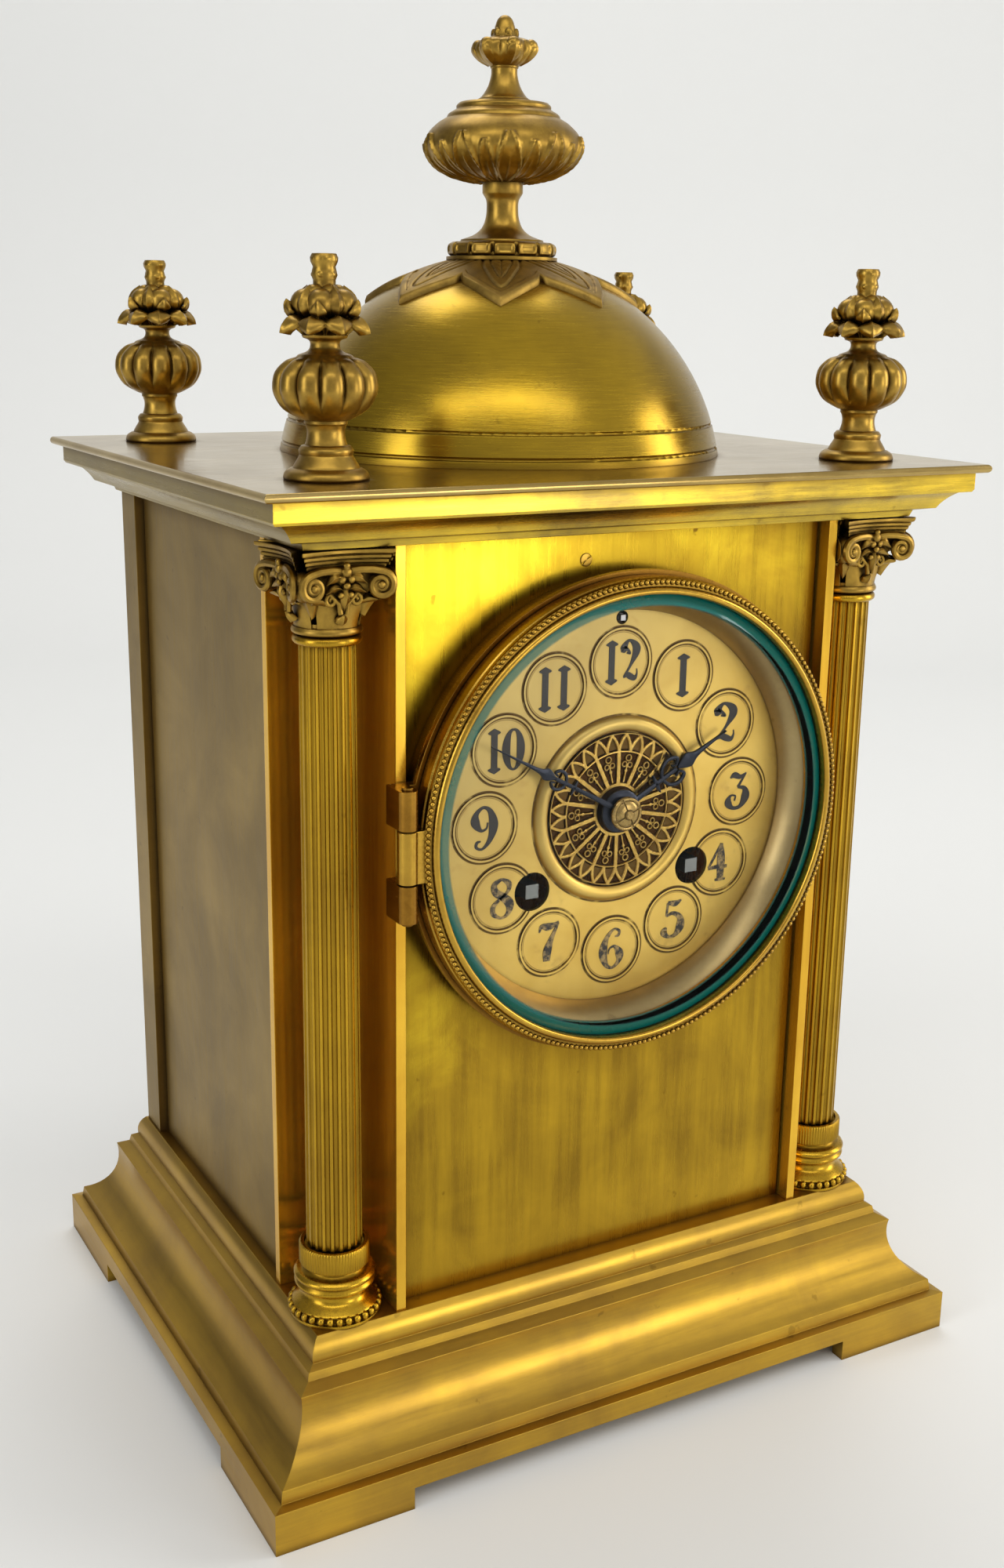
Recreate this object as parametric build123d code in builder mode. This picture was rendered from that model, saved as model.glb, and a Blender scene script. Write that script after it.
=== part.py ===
"""Brass bracket clock with a dome, four corner finials, two columns and an eight-day striking movement.

Millimetres, +Z up, front towards -Y. The origin is under the middle of the base, on the surface it stands on.
The movement is the part that takes the most skill: two spring barrels, a going train with its escapement,
a striking train with its count wheel and fly, and the motion work behind the dial, all in mesh at rest.
"""

import os
from math import acos, atan2, cos, degrees, hypot, pi, radians, sin, sqrt

from build123d import *

os.makedirs("parts", exist_ok=True)

# Case body and its brass sheet
BODY_W = 197.0
BODY_D = 156.0
BODY_H = 226.0
SHEET = 3.0
PANEL_RECESS = 5.0
PANEL_GAP = 0.7
SIDE_RECESS = 2.8
SIDE_SHEET = 2.5
RIM_INSET = 14.5
REAR_POST_DEPTH = 13.0
REAR_POST_FACE = 14.5
REAR_GROOVE = 1.4
REAR_POST_WALL = 2.8

# Base moulding and its bracket feet
BASE_H = 50.0
BASE_REACH = 23.5
PLINTH_H = 13.2
COVE_BOTTOM_REACH = 19.8
COVE_TOP_REACH = 9.5
COVE_BOTTOM = 17.3
COVE_TOP = 37.6
FOOT_H = 7.0
FRONT_FOOT_IN = 43.0
SIDE_FOOT_IN = 44.0
BASE_WALL = 5.0
BOARD_T = 4.0
BOARD_LEDGE = 3.0
BOARD_GAP = 0.2

# Cornice and top plate
CORNICE_H = 14.0
CORNICE_REACH = 14.7
TOP_PLATE_T = 2.4
TOP_PLATE_REACH = 18.0

# Columns, each in its niche
COLUMN_IN_X = 10.5
COLUMN_IN_Y = 12.0
NICHE_TO_SIDE = 14.5
NICHE_TO_BACK = 17.4
COLUMN_BASE_H = 22.0
COLUMN_BASE_R = 14.2
COLUMN_R_BOTTOM = 8.2
COLUMN_R_TOP = 7.7
COLUMN_NECK_R = 9.4
COLUMN_NECK_H = 2.6
CAPITAL_H = 24.0
ABACUS_HALF = 15.2
ABACUS_H = 5.0
CAPITAL_LEAVES = 8
CAPITAL_LEAF_R = 12.4
VOLUTE_R = 3.5
VOLUTE_W = 4.6
VOLUTE_OUT = 14.2
BASE_RIM_LOBES = 30
LOBE_CUT_R = 0.7
FLUTES = 20
FLUTE_R = 0.85
NICHE_CLEARANCE = 0.3

# Dome, its leaf collar and the urn on top
DOME_R = 69.6
DOME_SINK = 11.8
DOME_WALL = 2.0
DOME_GROOVE_R = 0.6
DOME_GROOVES = (2.6, 9.6)
COLLAR_T = 1.6
COLLAR_LEAVES = 8
COLLAR_TIP_R = 42.0
COLLAR_NOTCH_R = 31.4
COLLAR_TURN = 15.8
URN_SEAT = 57.1
URN_STUD_R = 3.0
URN_FOOT_R = 17.0
URN_FOOT_H = 22.9
URN_LOBES = 14
BOWL_R = 24.0
BOWL_H = 23.3
BOWL_LEAVES = 10
BOWL_LEAF_T = 0.8
BUD_R = 9.9
BUD_PETALS = 6

# Corner finials
FINIAL_IN_X = 10.5
FINIAL_IN_Y = 11.0
FINIAL_H = 56.0
MELON_R = 13.6
MELON_CURVE = 7.8
MELON_RISE = 23.4
MELON_RIBS = 12
MELON_GROOVE_R = 1.6
FINIAL_LEAVES = 8
FINIAL_LEAF_R = 11.0
FRUITS = 5
FRUIT_R = 4.2
FRUIT_RISE = 45.3
KNOT_R = 3.5

# Dial, case ring and glazed bezel
DIAL_RISE = 144.0
DIAL_R = 60.6
DIAL_T = 1.2
DIAL_GAP = 0.1
PANEL_HOLE_R = 52.0
WINDING_HOLE_R = 5.85
REGULATOR_RISE = 57.0
REGULATOR_HOLE_R = 2.0
NUMERAL_R = 44.0
CARTOUCHE_R = 10.2
CARTOUCHE_LINE = 0.6
CENTRE_RING_IN = 23.5
CENTRE_RING_OUT = 28.2
CENTRE_RING_H = 1.8
CENTRE_DISC_T = 0.8
CASE_RING_R = 70.0
CASE_RING_LIP_R = 71.8
CASE_RING_DEPTH = 9.0
CASE_RING_BORE = 65.0
SIGHT_RING_IN = 59.2
BEZEL_GAP = 0.3
BEZEL_R = 70.5
BEZEL_DEPTH = 7.7
BEAD_R = 1.5
GLASS_T = 4.0
GLASS_BEVEL = 4.5
GLASS_LIP = 1.7
KNUCKLE_R = 2.8
BEZEL_PIN_R = 1.0
KNUCKLE_GAP = 0.2
KNUCKLE_CUTS = (-19.5, -8.8, 6.8, 17.8)

# Hands
HOUR_HAND_R = 42.0
MINUTE_HAND_R = 51.0
HOUR_ANGLE = 61.0
MINUTE_ANGLE = 299.0
HAND_T = 0.8
HOUR_BOSS_R = 6.5
HAND_NUT_R = 5.1

# Rear door
DOOR_T = 3.5
DOOR_GAP = 0.6
DOOR_STILE = 12.0
DOOR_GLASS_T = 2.0
DOOR_REBATE = 2.0
DOOR_PIN_R = 1.0
DOOR_PIN_L = 3.0
KNOB_R = 5.0

# Movement plates, pillars and fits
POST_L = 12.0
POST_R = 4.0
PLATE_T = 2.5
PLATE_GAP = 42.0
PLATE_HALF_W = 54.0
PLATE_BOTTOM = -50.0
PLATE_TOP = 66.0
PILLAR_R = 3.5
PILLAR_INSET = 5.0
RUNNING = 0.05
SHAKE = 0.3
PIVOT_R = 0.6
ARBOR_R = 0.8
WHEEL_T = 1.5

# Barrels
BARREL_X = 28.0
BARREL_DROP = 21.5
BARREL_R = 22.0
BARREL_WALL = 1.2
BARREL_FRONT = 8.0
BARREL_L = 21.5
GREAT_T = 2.0
WINDING_ARBOR_R = 3.0
WINDING_SQUARE = 4.3
RATCHET_R = 8.0
RATCHET_TEETH = 20

# Tooth counts and modules
GREAT_TEETH, GREAT_MODULE = 66, 0.76
BARREL_PINION = 8
SECOND_TEETH, SECOND_MODULE = 60, 0.62
CENTRE_PINION = 10
CENTRE_TEETH, CENTRE_MODULE = 72, 0.54
THIRD_PINION = 6
THIRD_TEETH, THIRD_MODULE = 75, 0.5
ESCAPE_PINION = 6
ESCAPE_TEETH, ESCAPE_R = 30, 10.5
CANNON_TEETH, MINUTE_TEETH, MINUTE_MODULE = 12, 36, 0.5
MINUTE_PINION, HOUR_TEETH = 10, 40
COUNT_TEETH, COUNT_MODULE = 72, 0.46
PIN_PINION = 8
PIN_TEETH, PIN_MODULE = 70, 0.42
LOCKING_PINION = 7
LOCKING_TEETH, LOCKING_MODULE = 56, 0.42
FLY_PINION = 7
STRIKING_PINS = 10

# Bearings between the arbors, in degrees anticlockwise from three o'clock seen from the front
THIRD_BEARING = 125.0
MINUTE_BEARING = -60.0
COUNT_BEARING = 100.0
PIN_BEARING = 90.0
LOCKING_BEARING = 65.0
FLY_BEARING = 165.0

# Wheel planes, as distances behind the front plate's back face
SECOND_DEPTH = 3.5
CENTRE_DEPTH = 35.0
THIRD_DEPTH = 21.5
ESCAPE_DEPTH = 31.0
PIN_DEPTH = 10.5
LOCKING_DEPTH = 17.5
FLY_DEPTH = 21.5

# Escapement, pendulum, bell and hammer
ANCHOR_RISE = 14.0
PALLET_GAP = 1.4
PENDULUM_L = 159.0
PENDULUM_Y = 0.0
ROD_R = 1.2
BOB_R = 17.0
BOB_T = 7.0
BOB_EDGE = 0.8
BELL_R = 34.0
BELL_DEPTH = 18.0
BELL_WALL = 1.8
BELL_Y = 16.0
BELL_RISE = 5.0
FLY_R = 8.5
FLY_L = 16.0
COUNT_WHEEL_R = 16.0

# Places that follow from the sizes above
HALF_W = BODY_W / 2
HALF_D = BODY_D / 2
BODY_TOP = BASE_H + BODY_H
PLATE_Z = BODY_TOP + CORNICE_H
DECK_Z = PLATE_Z + TOP_PLATE_T
FRONT = -HALF_D
PANEL_FRONT = FRONT + PANEL_RECESS
PANEL_BACK = PANEL_FRONT + SHEET
COLUMN_X = HALF_W - COLUMN_IN_X
COLUMN_Y = FRONT + COLUMN_IN_Y
NICHE_X = COLUMN_X - NICHE_TO_SIDE
NICHE_Y = COLUMN_Y + NICHE_TO_BACK
DIAL_Z = BASE_H + DIAL_RISE
DIAL_FRONT = PANEL_FRONT - DIAL_T
RING_FRONT = PANEL_FRONT - CASE_RING_DEPTH
BEZEL_BACK = RING_FRONT - BEZEL_GAP
BEZEL_FRONT = BEZEL_BACK - BEZEL_DEPTH
PLATE_FRONT = PANEL_BACK + POST_L
GAP_FRONT = PLATE_FRONT + PLATE_T
GAP_BACK = GAP_FRONT + PLATE_GAP
PLATE_BACK = GAP_BACK + PLATE_T


def polar(centre, distance, bearing):
    """The place at a distance and bearing from another, in the plane of the dial."""
    return (
        centre[0] + distance * cos(radians(bearing)),
        centre[1] + distance * sin(radians(bearing)),
    )


def bearing(start, end):
    """The direction from one arbor to another, in degrees."""
    return degrees(atan2(end[1] - start[1], end[0] - start[0]))


def depth(teeth, leaves, module):
    """The distance between the centres of a wheel and the pinion that it drives."""
    return module * (teeth + leaves) / 2


def mesh(phase, teeth, direction, other_teeth):
    """The angle of a tooth of the second wheel that puts it in mesh with the first."""
    return direction + 180 - (teeth / other_teeth) * (phase - direction) - 180 / other_teeth


# Arbors, as places (x, height above the dial centre)
CENTRE_AT = (0.0, 0.0)
GOING_AT = (BARREL_X, -BARREL_DROP)
STRIKE_AT = (-BARREL_X, -BARREL_DROP)
GREAT_DEPTH = depth(GREAT_TEETH, BARREL_PINION, GREAT_MODULE)
SECOND_REACH = depth(SECOND_TEETH, CENTRE_PINION, SECOND_MODULE)
BARREL_REACH = hypot(*GOING_AT)
SECOND_TURN = degrees(
    acos((SECOND_REACH**2 + BARREL_REACH**2 - GREAT_DEPTH**2) / (2 * SECOND_REACH * BARREL_REACH))
)
SECOND_AT = polar(CENTRE_AT, SECOND_REACH, bearing(CENTRE_AT, GOING_AT) + SECOND_TURN)
THIRD_AT = polar(CENTRE_AT, depth(CENTRE_TEETH, THIRD_PINION, CENTRE_MODULE), THIRD_BEARING)
ESCAPE_REACH = depth(THIRD_TEETH, ESCAPE_PINION, THIRD_MODULE)
ESCAPE_AT = (0.0, THIRD_AT[1] + sqrt(ESCAPE_REACH**2 - THIRD_AT[0] ** 2))
ANCHOR_AT = (0.0, ESCAPE_AT[1] + ANCHOR_RISE)
REGULATOR_AT = (0.0, REGULATOR_RISE)
MINUTE_REACH = depth(MINUTE_TEETH, CANNON_TEETH, MINUTE_MODULE)
MINUTE_AT = polar(CENTRE_AT, MINUTE_REACH, MINUTE_BEARING)
HOUR_MODULE = 2 * MINUTE_REACH / (MINUTE_PINION + HOUR_TEETH)
COUNT_AT = polar(STRIKE_AT, GREAT_DEPTH, COUNT_BEARING)
PIN_AT = polar(COUNT_AT, depth(COUNT_TEETH, PIN_PINION, COUNT_MODULE), PIN_BEARING)
LOCKING_AT = polar(PIN_AT, depth(PIN_TEETH, LOCKING_PINION, PIN_MODULE), LOCKING_BEARING)
FLY_AT = polar(LOCKING_AT, depth(LOCKING_TEETH, FLY_PINION, LOCKING_MODULE), FLY_BEARING)
HAMMER_AT = (PIN_AT[0] - 16.6, PIN_AT[1] + 5.4)
BELL_AT = (0.0, BELL_RISE)
PILLARS = [
    (side * (PLATE_HALF_W - PILLAR_INSET), height)
    for side in (-1, 1)
    for height in (PLATE_BOTTOM + PILLAR_INSET, PLATE_TOP - PILLAR_INSET)
]


def dial_plane(y):
    """An upright plane facing the front, centred on the dial, at a depth."""
    return Plane(origin=(0, y, DIAL_Z), x_dir=(1, 0, 0), z_dir=(0, -1, 0))


def outline(members):
    """Closed outline from (a, b) corners; a member (a, b, c, d) is an arc through (a, b) to (c, d)."""
    with BuildLine() as edge:
        here = members[0]
        for member in members[1:]:
            if len(member) == 4:
                ThreePointArc(here, member[:2], member[2:])
            else:
                Line(here, member)
            here = member[-2:]
        Line(here, members[0])
    make_face(edge.edges())


def turn_upright(members, x=0.0, y=0.0, mode=Mode.ADD):
    """Turn an outline of (radius, height) about a vertical axis."""
    with BuildSketch(Plane(origin=(x, y, 0), x_dir=(1, 0, 0), z_dir=(0, -1, 0))) as profile:
        outline(members)
    revolve(profile.sketch, axis=Axis((x, y, 0), (0, 0, 1)), mode=mode)


def turn_level(members, at=(0.0, 0.0), mode=Mode.ADD):
    """Turn an outline of (radius, depth) about a front-to-back axis through a place on the dial."""
    x, z = at[0], DIAL_Z + at[1]
    with BuildSketch(Plane(origin=(x, 0, z), x_dir=(1, 0, 0), z_dir=(0, 0, 1))) as profile:
        outline(members)
    revolve(profile.sketch, axis=Axis((x, 0, z), (0, 1, 0)), mode=mode)


def cylinder_level(at, radius, back, front, mode=Mode.ADD):
    """A round bar or hole from front to back."""
    with BuildSketch(dial_plane(back)) as section:
        with Locations(at):
            Circle(radius)
    extrude(section.sketch, amount=back - front, mode=mode)


def pointed_leaves(leaves, tip_r, notch_r, belly_r, turn=0.0):
    """A ring of pointed leaves as one closed outline, from the rim of which each leaf swells and comes to a tip."""
    step = 360 / leaves
    with BuildLine() as edge:
        for leaf in range(leaves):
            tip = turn + leaf * step
            point = polar((0, 0), tip_r, tip)
            ThreePointArc(polar((0, 0), notch_r, tip - step / 2), polar((0, 0), belly_r, tip - step / 4), point)
            ThreePointArc(point, polar((0, 0), belly_r, tip + step / 4), polar((0, 0), notch_r, tip + step / 2))
    make_face(edge.edges())


def scallop(rim_r, count, cut_r, low, high):
    """Cut equal upright notches round a rim, which leaves lobes or petals between them."""
    with BuildSketch(Plane.XY.offset(low)) as notches:
        with PolarLocations(rim_r, count):
            Circle(cut_r)
    extrude(notches.sketch, amount=high - low, mode=Mode.SUBTRACT)


def save(piece, name):
    """Label a finished piece and write its file."""
    piece.part.label = name
    export_step(piece.part, f"parts/{name}.step")


def mitred(section):
    """A moulding mitred round the body: the same section run along both pairs of sides."""
    run = 2 * (HALF_W + HALF_D + TOP_PLATE_REACH)
    with BuildSketch(Plane.YZ) as across:
        section(HALF_D)
        mirror(about=Plane.YZ)
    extrude(across.sketch, amount=run / 2, both=True)
    with BuildSketch(Plane.XZ) as along:
        section(HALF_W)
        mirror(about=Plane.YZ)
    extrude(along.sketch, amount=run / 2, both=True, mode=Mode.INTERSECT)


def box_between(low, high, mode=Mode.ADD):
    """A block between two opposite corners."""
    with Locations(tuple((a + b) / 2 for a, b in zip(low, high))):
        Box(*(b - a for a, b in zip(low, high)), mode=mode)


def hollow(reach, bottom, top):
    """Clear the inside of a moulding out to a distance from the body line."""
    box_between(
        (-HALF_W - reach, -HALF_D - reach, bottom), (HALF_W + reach, HALF_D + reach, top), Mode.SUBTRACT
    )


# The rear door turns on two pins at its left edge
DOOR_HALF = HALF_W - REAR_POST_FACE - DOOR_GAP
DOOR_Y = HALF_D - DOOR_T / 2
DOOR_PIVOT = (-DOOR_HALF + DOOR_T / 2, DOOR_Y)


def door_pin_holes(bottom, top):
    """The bearing of a rear door pin."""
    with BuildSketch(Plane.XY.offset(bottom)) as section:
        with Locations(DOOR_PIVOT):
            Circle(DOOR_PIN_R + RUNNING)
    extrude(section.sketch, amount=top - bottom, mode=Mode.SUBTRACT)


# Base moulding: plinth, cove and small ovolo, hollow inside, on four bracket feet
def base_section(half):
    outline([
        (0, 0),
        (half + BASE_REACH, 0),
        (half + BASE_REACH, PLINTH_H),
        (half + COVE_BOTTOM_REACH + 0.6, PLINTH_H + 0.4),
        (half + COVE_BOTTOM_REACH, COVE_BOTTOM),
        (half + 12.5, COVE_BOTTOM + 6.0, half + COVE_TOP_REACH, COVE_TOP),
        (half + 5.8, COVE_TOP + 1.9),
        (half + 5.3, COVE_TOP + 4.2),
        (half + 3.2, BASE_H - 7.0),
        (half + 2.4, BASE_H - 2.2, half + 0.8, BASE_H - 0.1),
        (half + 0.7, BASE_H),
        (0, BASE_H),
    ])


with BuildPart() as base_moulding:
    mitred(base_section)
    hollow(BASE_REACH - BASE_WALL, 0, PLINTH_H)
    hollow(COVE_TOP_REACH - BASE_WALL, PLINTH_H, COVE_TOP - BASE_WALL)
    hollow(-RIM_INSET - BOARD_LEDGE, COVE_TOP - BASE_WALL, BASE_H)
    hollow(-RIM_INSET, BASE_H - BOARD_T, BASE_H)
    foot_x = HALF_W + BASE_REACH - FRONT_FOOT_IN
    foot_y = HALF_D + BASE_REACH - SIDE_FOOT_IN
    far = HALF_W + HALF_D
    box_between((-foot_x, -far, 0), (foot_x, far, FOOT_H), Mode.SUBTRACT)
    box_between((-far, -foot_y, 0), (far, foot_y, FOOT_H), Mode.SUBTRACT)
    door_pin_holes(BASE_H - DOOR_PIN_L, BASE_H)
save(base_moulding, "base_moulding")

# The base board lies in a rebate of the moulding and closes the bottom of the case
with BuildPart() as base_board:
    board_w = HALF_W - RIM_INSET - BOARD_GAP
    board_d = HALF_D - RIM_INSET - BOARD_GAP
    box_between((-board_w, -board_d, BASE_H - BOARD_T), (board_w, board_d, BASE_H))
save(base_board, "base_board")


# Cornice: soffit, cove and fascia under the top plate
def cornice_section(half):
    outline([
        (0, BODY_TOP),
        (half + 1.5, BODY_TOP),
        (half + 2.2, BODY_TOP + 1.9),
        (half + 7.0, BODY_TOP + 2.8),
        (half + 8.9, BODY_TOP + 5.6, half + 11.9, BODY_TOP + 8.0),
        (half + CORNICE_REACH - 0.5, BODY_TOP + 8.1),
        (half + CORNICE_REACH, BODY_TOP + 8.9),
        (half + CORNICE_REACH, PLATE_Z),
        (0, PLATE_Z),
    ])


with BuildPart() as cornice_moulding:
    mitred(cornice_section)
    hollow(-RIM_INSET, BODY_TOP, PLATE_Z)
    door_pin_holes(BODY_TOP, BODY_TOP + DOOR_PIN_L)
save(cornice_moulding, "cornice_moulding")


# Top plate: a sheet with a rounded nose, lying on the cornice
def top_plate_section(half):
    outline([
        (0, PLATE_Z),
        (half + TOP_PLATE_REACH - 0.8, PLATE_Z),
        (half + TOP_PLATE_REACH, PLATE_Z + TOP_PLATE_T / 2, half + TOP_PLATE_REACH - 0.8, DECK_Z),
        (0, DECK_Z),
    ])


FINIAL_PLACES = [
    (side * (HALF_W - FINIAL_IN_X), end * (HALF_D - FINIAL_IN_Y)) for side in (-1, 1) for end in (-1, 1)
]
with BuildPart() as top_plate:
    mitred(top_plate_section)
    with BuildSketch(Plane.XY.offset(PLATE_Z)):
        Circle(URN_STUD_R)
    extrude(amount=TOP_PLATE_T, mode=Mode.SUBTRACT)
save(top_plate, "top_plate")

# Front panel with the opening for the dial, the winding arbors and the regulator
with BuildPart() as front_panel:
    panel_w = NICHE_X - SHEET - PANEL_GAP
    box_between((-panel_w, PANEL_FRONT, BASE_H), (panel_w, PANEL_BACK, BODY_TOP))
    cylinder_level(CENTRE_AT, PANEL_HOLE_R, PANEL_BACK, PANEL_FRONT, Mode.SUBTRACT)
    cylinder_level(REGULATOR_AT, REGULATOR_HOLE_R, PANEL_BACK, PANEL_FRONT, Mode.SUBTRACT)
save(front_panel, "front_panel")

# Niche angles: a bent strip behind each column, with one leg beside the panel and one behind the column.
# The front leg is cut back where the drum of the dial passes it.
with BuildPart() as niche_angles:
    with BuildSketch(Plane.XY.offset(BASE_H)):
        outline([
            (NICHE_X - SHEET, FRONT),
            (NICHE_X, FRONT),
            (NICHE_X, NICHE_Y),
            (HALF_W, NICHE_Y),
            (HALF_W, NICHE_Y + SHEET),
            (NICHE_X - SHEET, NICHE_Y + SHEET),
        ])
        mirror(about=Plane.YZ)
    extrude(amount=BODY_H)
    cylinder_level(CENTRE_AT, CASE_RING_LIP_R + NICHE_CLEARANCE, PANEL_BACK, FRONT, Mode.SUBTRACT)
save(niche_angles, "niche_angles")

# Side panels run from the niche angle to a groove in front of the rear post
SIDE_FACE = HALF_W - SIDE_RECESS
POST_START = HALF_D - REAR_POST_DEPTH
for side, name in ((-1, "side_panel_left"), (1, "side_panel_right")):
    with BuildPart() as side_panel:
        inner, outer = sorted((side * (SIDE_FACE - SIDE_SHEET), side * SIDE_FACE))
        box_between((inner, NICHE_Y + SHEET, BASE_H), (outer, POST_START - REAR_GROOVE, BODY_TOP))
    save(side_panel, name)

# Rear posts: channels with a face on the side and one on the back, between which the door hangs
with BuildPart() as rear_posts:
    with BuildSketch(Plane.XY.offset(BASE_H)):
        inside = HALF_W - REAR_POST_FACE
        wall = REAR_POST_WALL
        outline([
            (HALF_W, POST_START),
            (HALF_W, HALF_D),
            (inside, HALF_D),
            (inside, HALF_D - SHEET),
            (HALF_W - wall, HALF_D - SHEET),
            (HALF_W - wall, POST_START + wall),
            (inside + wall, POST_START + wall),
            (inside + wall, POST_START),
        ])
        mirror(about=Plane.YZ)
    extrude(amount=BODY_H)
save(rear_posts, "rear_posts")

# Columns: turned base with a rim ring, fluted tapering shaft and a capital under the cornice
COLUMN_PLACES = [(-COLUMN_X, COLUMN_Y), (COLUMN_X, COLUMN_Y)]
SHAFT_Z = BASE_H + COLUMN_BASE_H
CAPITAL_Z = BODY_TOP - CAPITAL_H
BASE_RIM_H = 2.8
with BuildPart() as column_base:
    turn_upright([
        (0, BASE_H),
        (COLUMN_BASE_R, BASE_H),
        (COLUMN_BASE_R, BASE_H + BASE_RIM_H),
        (COLUMN_BASE_R - 2.4, BASE_H + BASE_RIM_H + 0.6),
        (COLUMN_BASE_R - 4.6, BASE_H + 5.6, COLUMN_BASE_R - 3.4, BASE_H + 7.8),
        (COLUMN_BASE_R - 2.2, BASE_H + 9.3, COLUMN_BASE_R - 2.9, BASE_H + 10.6),
        (COLUMN_BASE_R - 2.9, BASE_H + 11.2),
        (COLUMN_BASE_R - 2.4, BASE_H + 12.5, COLUMN_BASE_R - 3.4, BASE_H + 13.6),
        (COLUMN_BASE_R - 5.0, BASE_H + 14.4),
        (COLUMN_BASE_R - 5.0, BASE_H + 15.2),
        (COLUMN_BASE_R - 4.1, BASE_H + 15.6),
        (COLUMN_BASE_R - 4.1, SHAFT_Z - 0.3),
        (COLUMN_BASE_R - 4.4, SHAFT_Z),
        (0, SHAFT_Z),
    ])
    scallop(COLUMN_BASE_R + 0.1, BASE_RIM_LOBES, LOBE_CUT_R, BASE_H, BASE_H + BASE_RIM_H)
with BuildPart() as column_bases:
    with Locations(*COLUMN_PLACES):
        add(column_base.part)
save(column_bases, "column_bases")


def fluted_section(radius):
    Circle(radius)
    with PolarLocations(radius + 0.1, FLUTES):
        Circle(FLUTE_R, mode=Mode.SUBTRACT)


with BuildPart() as fluted_shaft:
    with BuildSketch(Plane.XY.offset(SHAFT_Z)):
        fluted_section(COLUMN_R_BOTTOM)
    with BuildSketch(Plane.XY.offset(CAPITAL_Z - COLUMN_NECK_H)):
        fluted_section(COLUMN_R_TOP)
    loft(ruled=True)
    turn_upright([
        (0, CAPITAL_Z - COLUMN_NECK_H),
        (COLUMN_R_TOP, CAPITAL_Z - COLUMN_NECK_H),
        (COLUMN_NECK_R, CAPITAL_Z - COLUMN_NECK_H / 2, COLUMN_R_TOP, CAPITAL_Z),
        (0, CAPITAL_Z),
    ])
with BuildPart() as column_shafts:
    with Locations(*COLUMN_PLACES):
        add(fluted_shaft.part)
save(column_shafts, "column_shafts")

# Capital: leaves round a bell, a scroll under each corner, and a stepped abacus with hollow sides and cut corners
ABACUS_Z = BODY_TOP - ABACUS_H
LEAF_LOW = CAPITAL_Z + 0.6
LEAF_HIGH = CAPITAL_Z + 11.0
with BuildPart() as capital_leaves:
    turn_upright([
        (0, LEAF_LOW),
        (COLUMN_R_TOP + 0.5, LEAF_LOW),
        (COLUMN_R_TOP + 1.6, LEAF_LOW + 6.0, CAPITAL_LEAF_R, LEAF_HIGH),
        (0, LEAF_HIGH),
    ])
    with BuildSketch(Plane.XY.offset(LEAF_LOW)):
        pointed_leaves(CAPITAL_LEAVES, CAPITAL_LEAF_R, CAPITAL_LEAF_R - 4.0, CAPITAL_LEAF_R - 1.4)
    extrude(amount=LEAF_HIGH - LEAF_LOW, mode=Mode.INTERSECT)


def abacus_tier(half, low, high):
    """One step of the abacus."""
    with BuildSketch(Plane.XY.offset(low)) as tier:
        Rectangle(2 * half, 2 * half)
        chamfer(tier.vertices(), 3.0)
        with PolarLocations(half + 17.6, 4):
            Circle(20.0, mode=Mode.SUBTRACT)
    extrude(tier.sketch, amount=high - low)


with BuildPart() as capital:
    turn_upright([
        (0, CAPITAL_Z),
        (COLUMN_R_TOP, CAPITAL_Z),
        (COLUMN_R_TOP + 0.8, CAPITAL_Z + 9.0, ABACUS_HALF - 3.2, ABACUS_Z),
        (0, ABACUS_Z),
    ])
    add(capital_leaves.part)
    abacus_tier(ABACUS_HALF - 1.0, ABACUS_Z, ABACUS_Z + ABACUS_H / 2)
    abacus_tier(ABACUS_HALF, ABACUS_Z + ABACUS_H / 2, BODY_TOP)
    for corner in range(45, 360, 90):
        place = polar((0, 0), VOLUTE_OUT, corner)
        across = (-sin(radians(corner)), cos(radians(corner)), 0)
        with BuildSketch(Plane(origin=(*place, ABACUS_Z - VOLUTE_R + 0.4), x_dir=(0, 0, 1), z_dir=across)):
            Circle(VOLUTE_R)
        extrude(amount=VOLUTE_W / 2, both=True)
with BuildPart() as column_capitals:
    with Locations(*COLUMN_PLACES):
        add(capital.part)
    room = NICHE_X + NICHE_CLEARANCE
    box_between((-room, FRONT - BODY_D, BASE_H), (room, 0, BODY_TOP), Mode.SUBTRACT)
save(column_capitals, "column_capitals")

# Dome: a spun shell with turned grooves near its foot and a flat seat for the urn
DOME_CENTRE = DECK_Z - DOME_SINK
SEAT_Z = DECK_Z + URN_SEAT


def on_sphere(radius, height):
    """The radius of a sphere about the dome's centre at a height."""
    return sqrt(radius**2 - (height - DOME_CENTRE) ** 2)


with BuildPart() as dome:
    inside = DOME_R - DOME_WALL
    middle = DOME_R * sin(radians(45))
    turn_upright([
        (on_sphere(DOME_R, DECK_Z), DECK_Z),
        (middle, DOME_CENTRE + middle, on_sphere(DOME_R, SEAT_Z), SEAT_Z),
        (URN_STUD_R, SEAT_Z),
        (URN_STUD_R, DOME_CENTRE + sqrt(inside**2 - URN_STUD_R**2)),
        (inside * sin(radians(45)), DOME_CENTRE + inside * cos(radians(45)),
         on_sphere(inside, DECK_Z), DECK_Z),
    ])
    for rise in DOME_GROOVES:
        with BuildSketch(Plane.XZ):
            with Locations((on_sphere(DOME_R, DECK_Z + rise), DECK_Z + rise)):
                Circle(DOME_GROOVE_R)
        revolve(axis=Axis.Z, mode=Mode.SUBTRACT)
save(dome, "dome")

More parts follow.
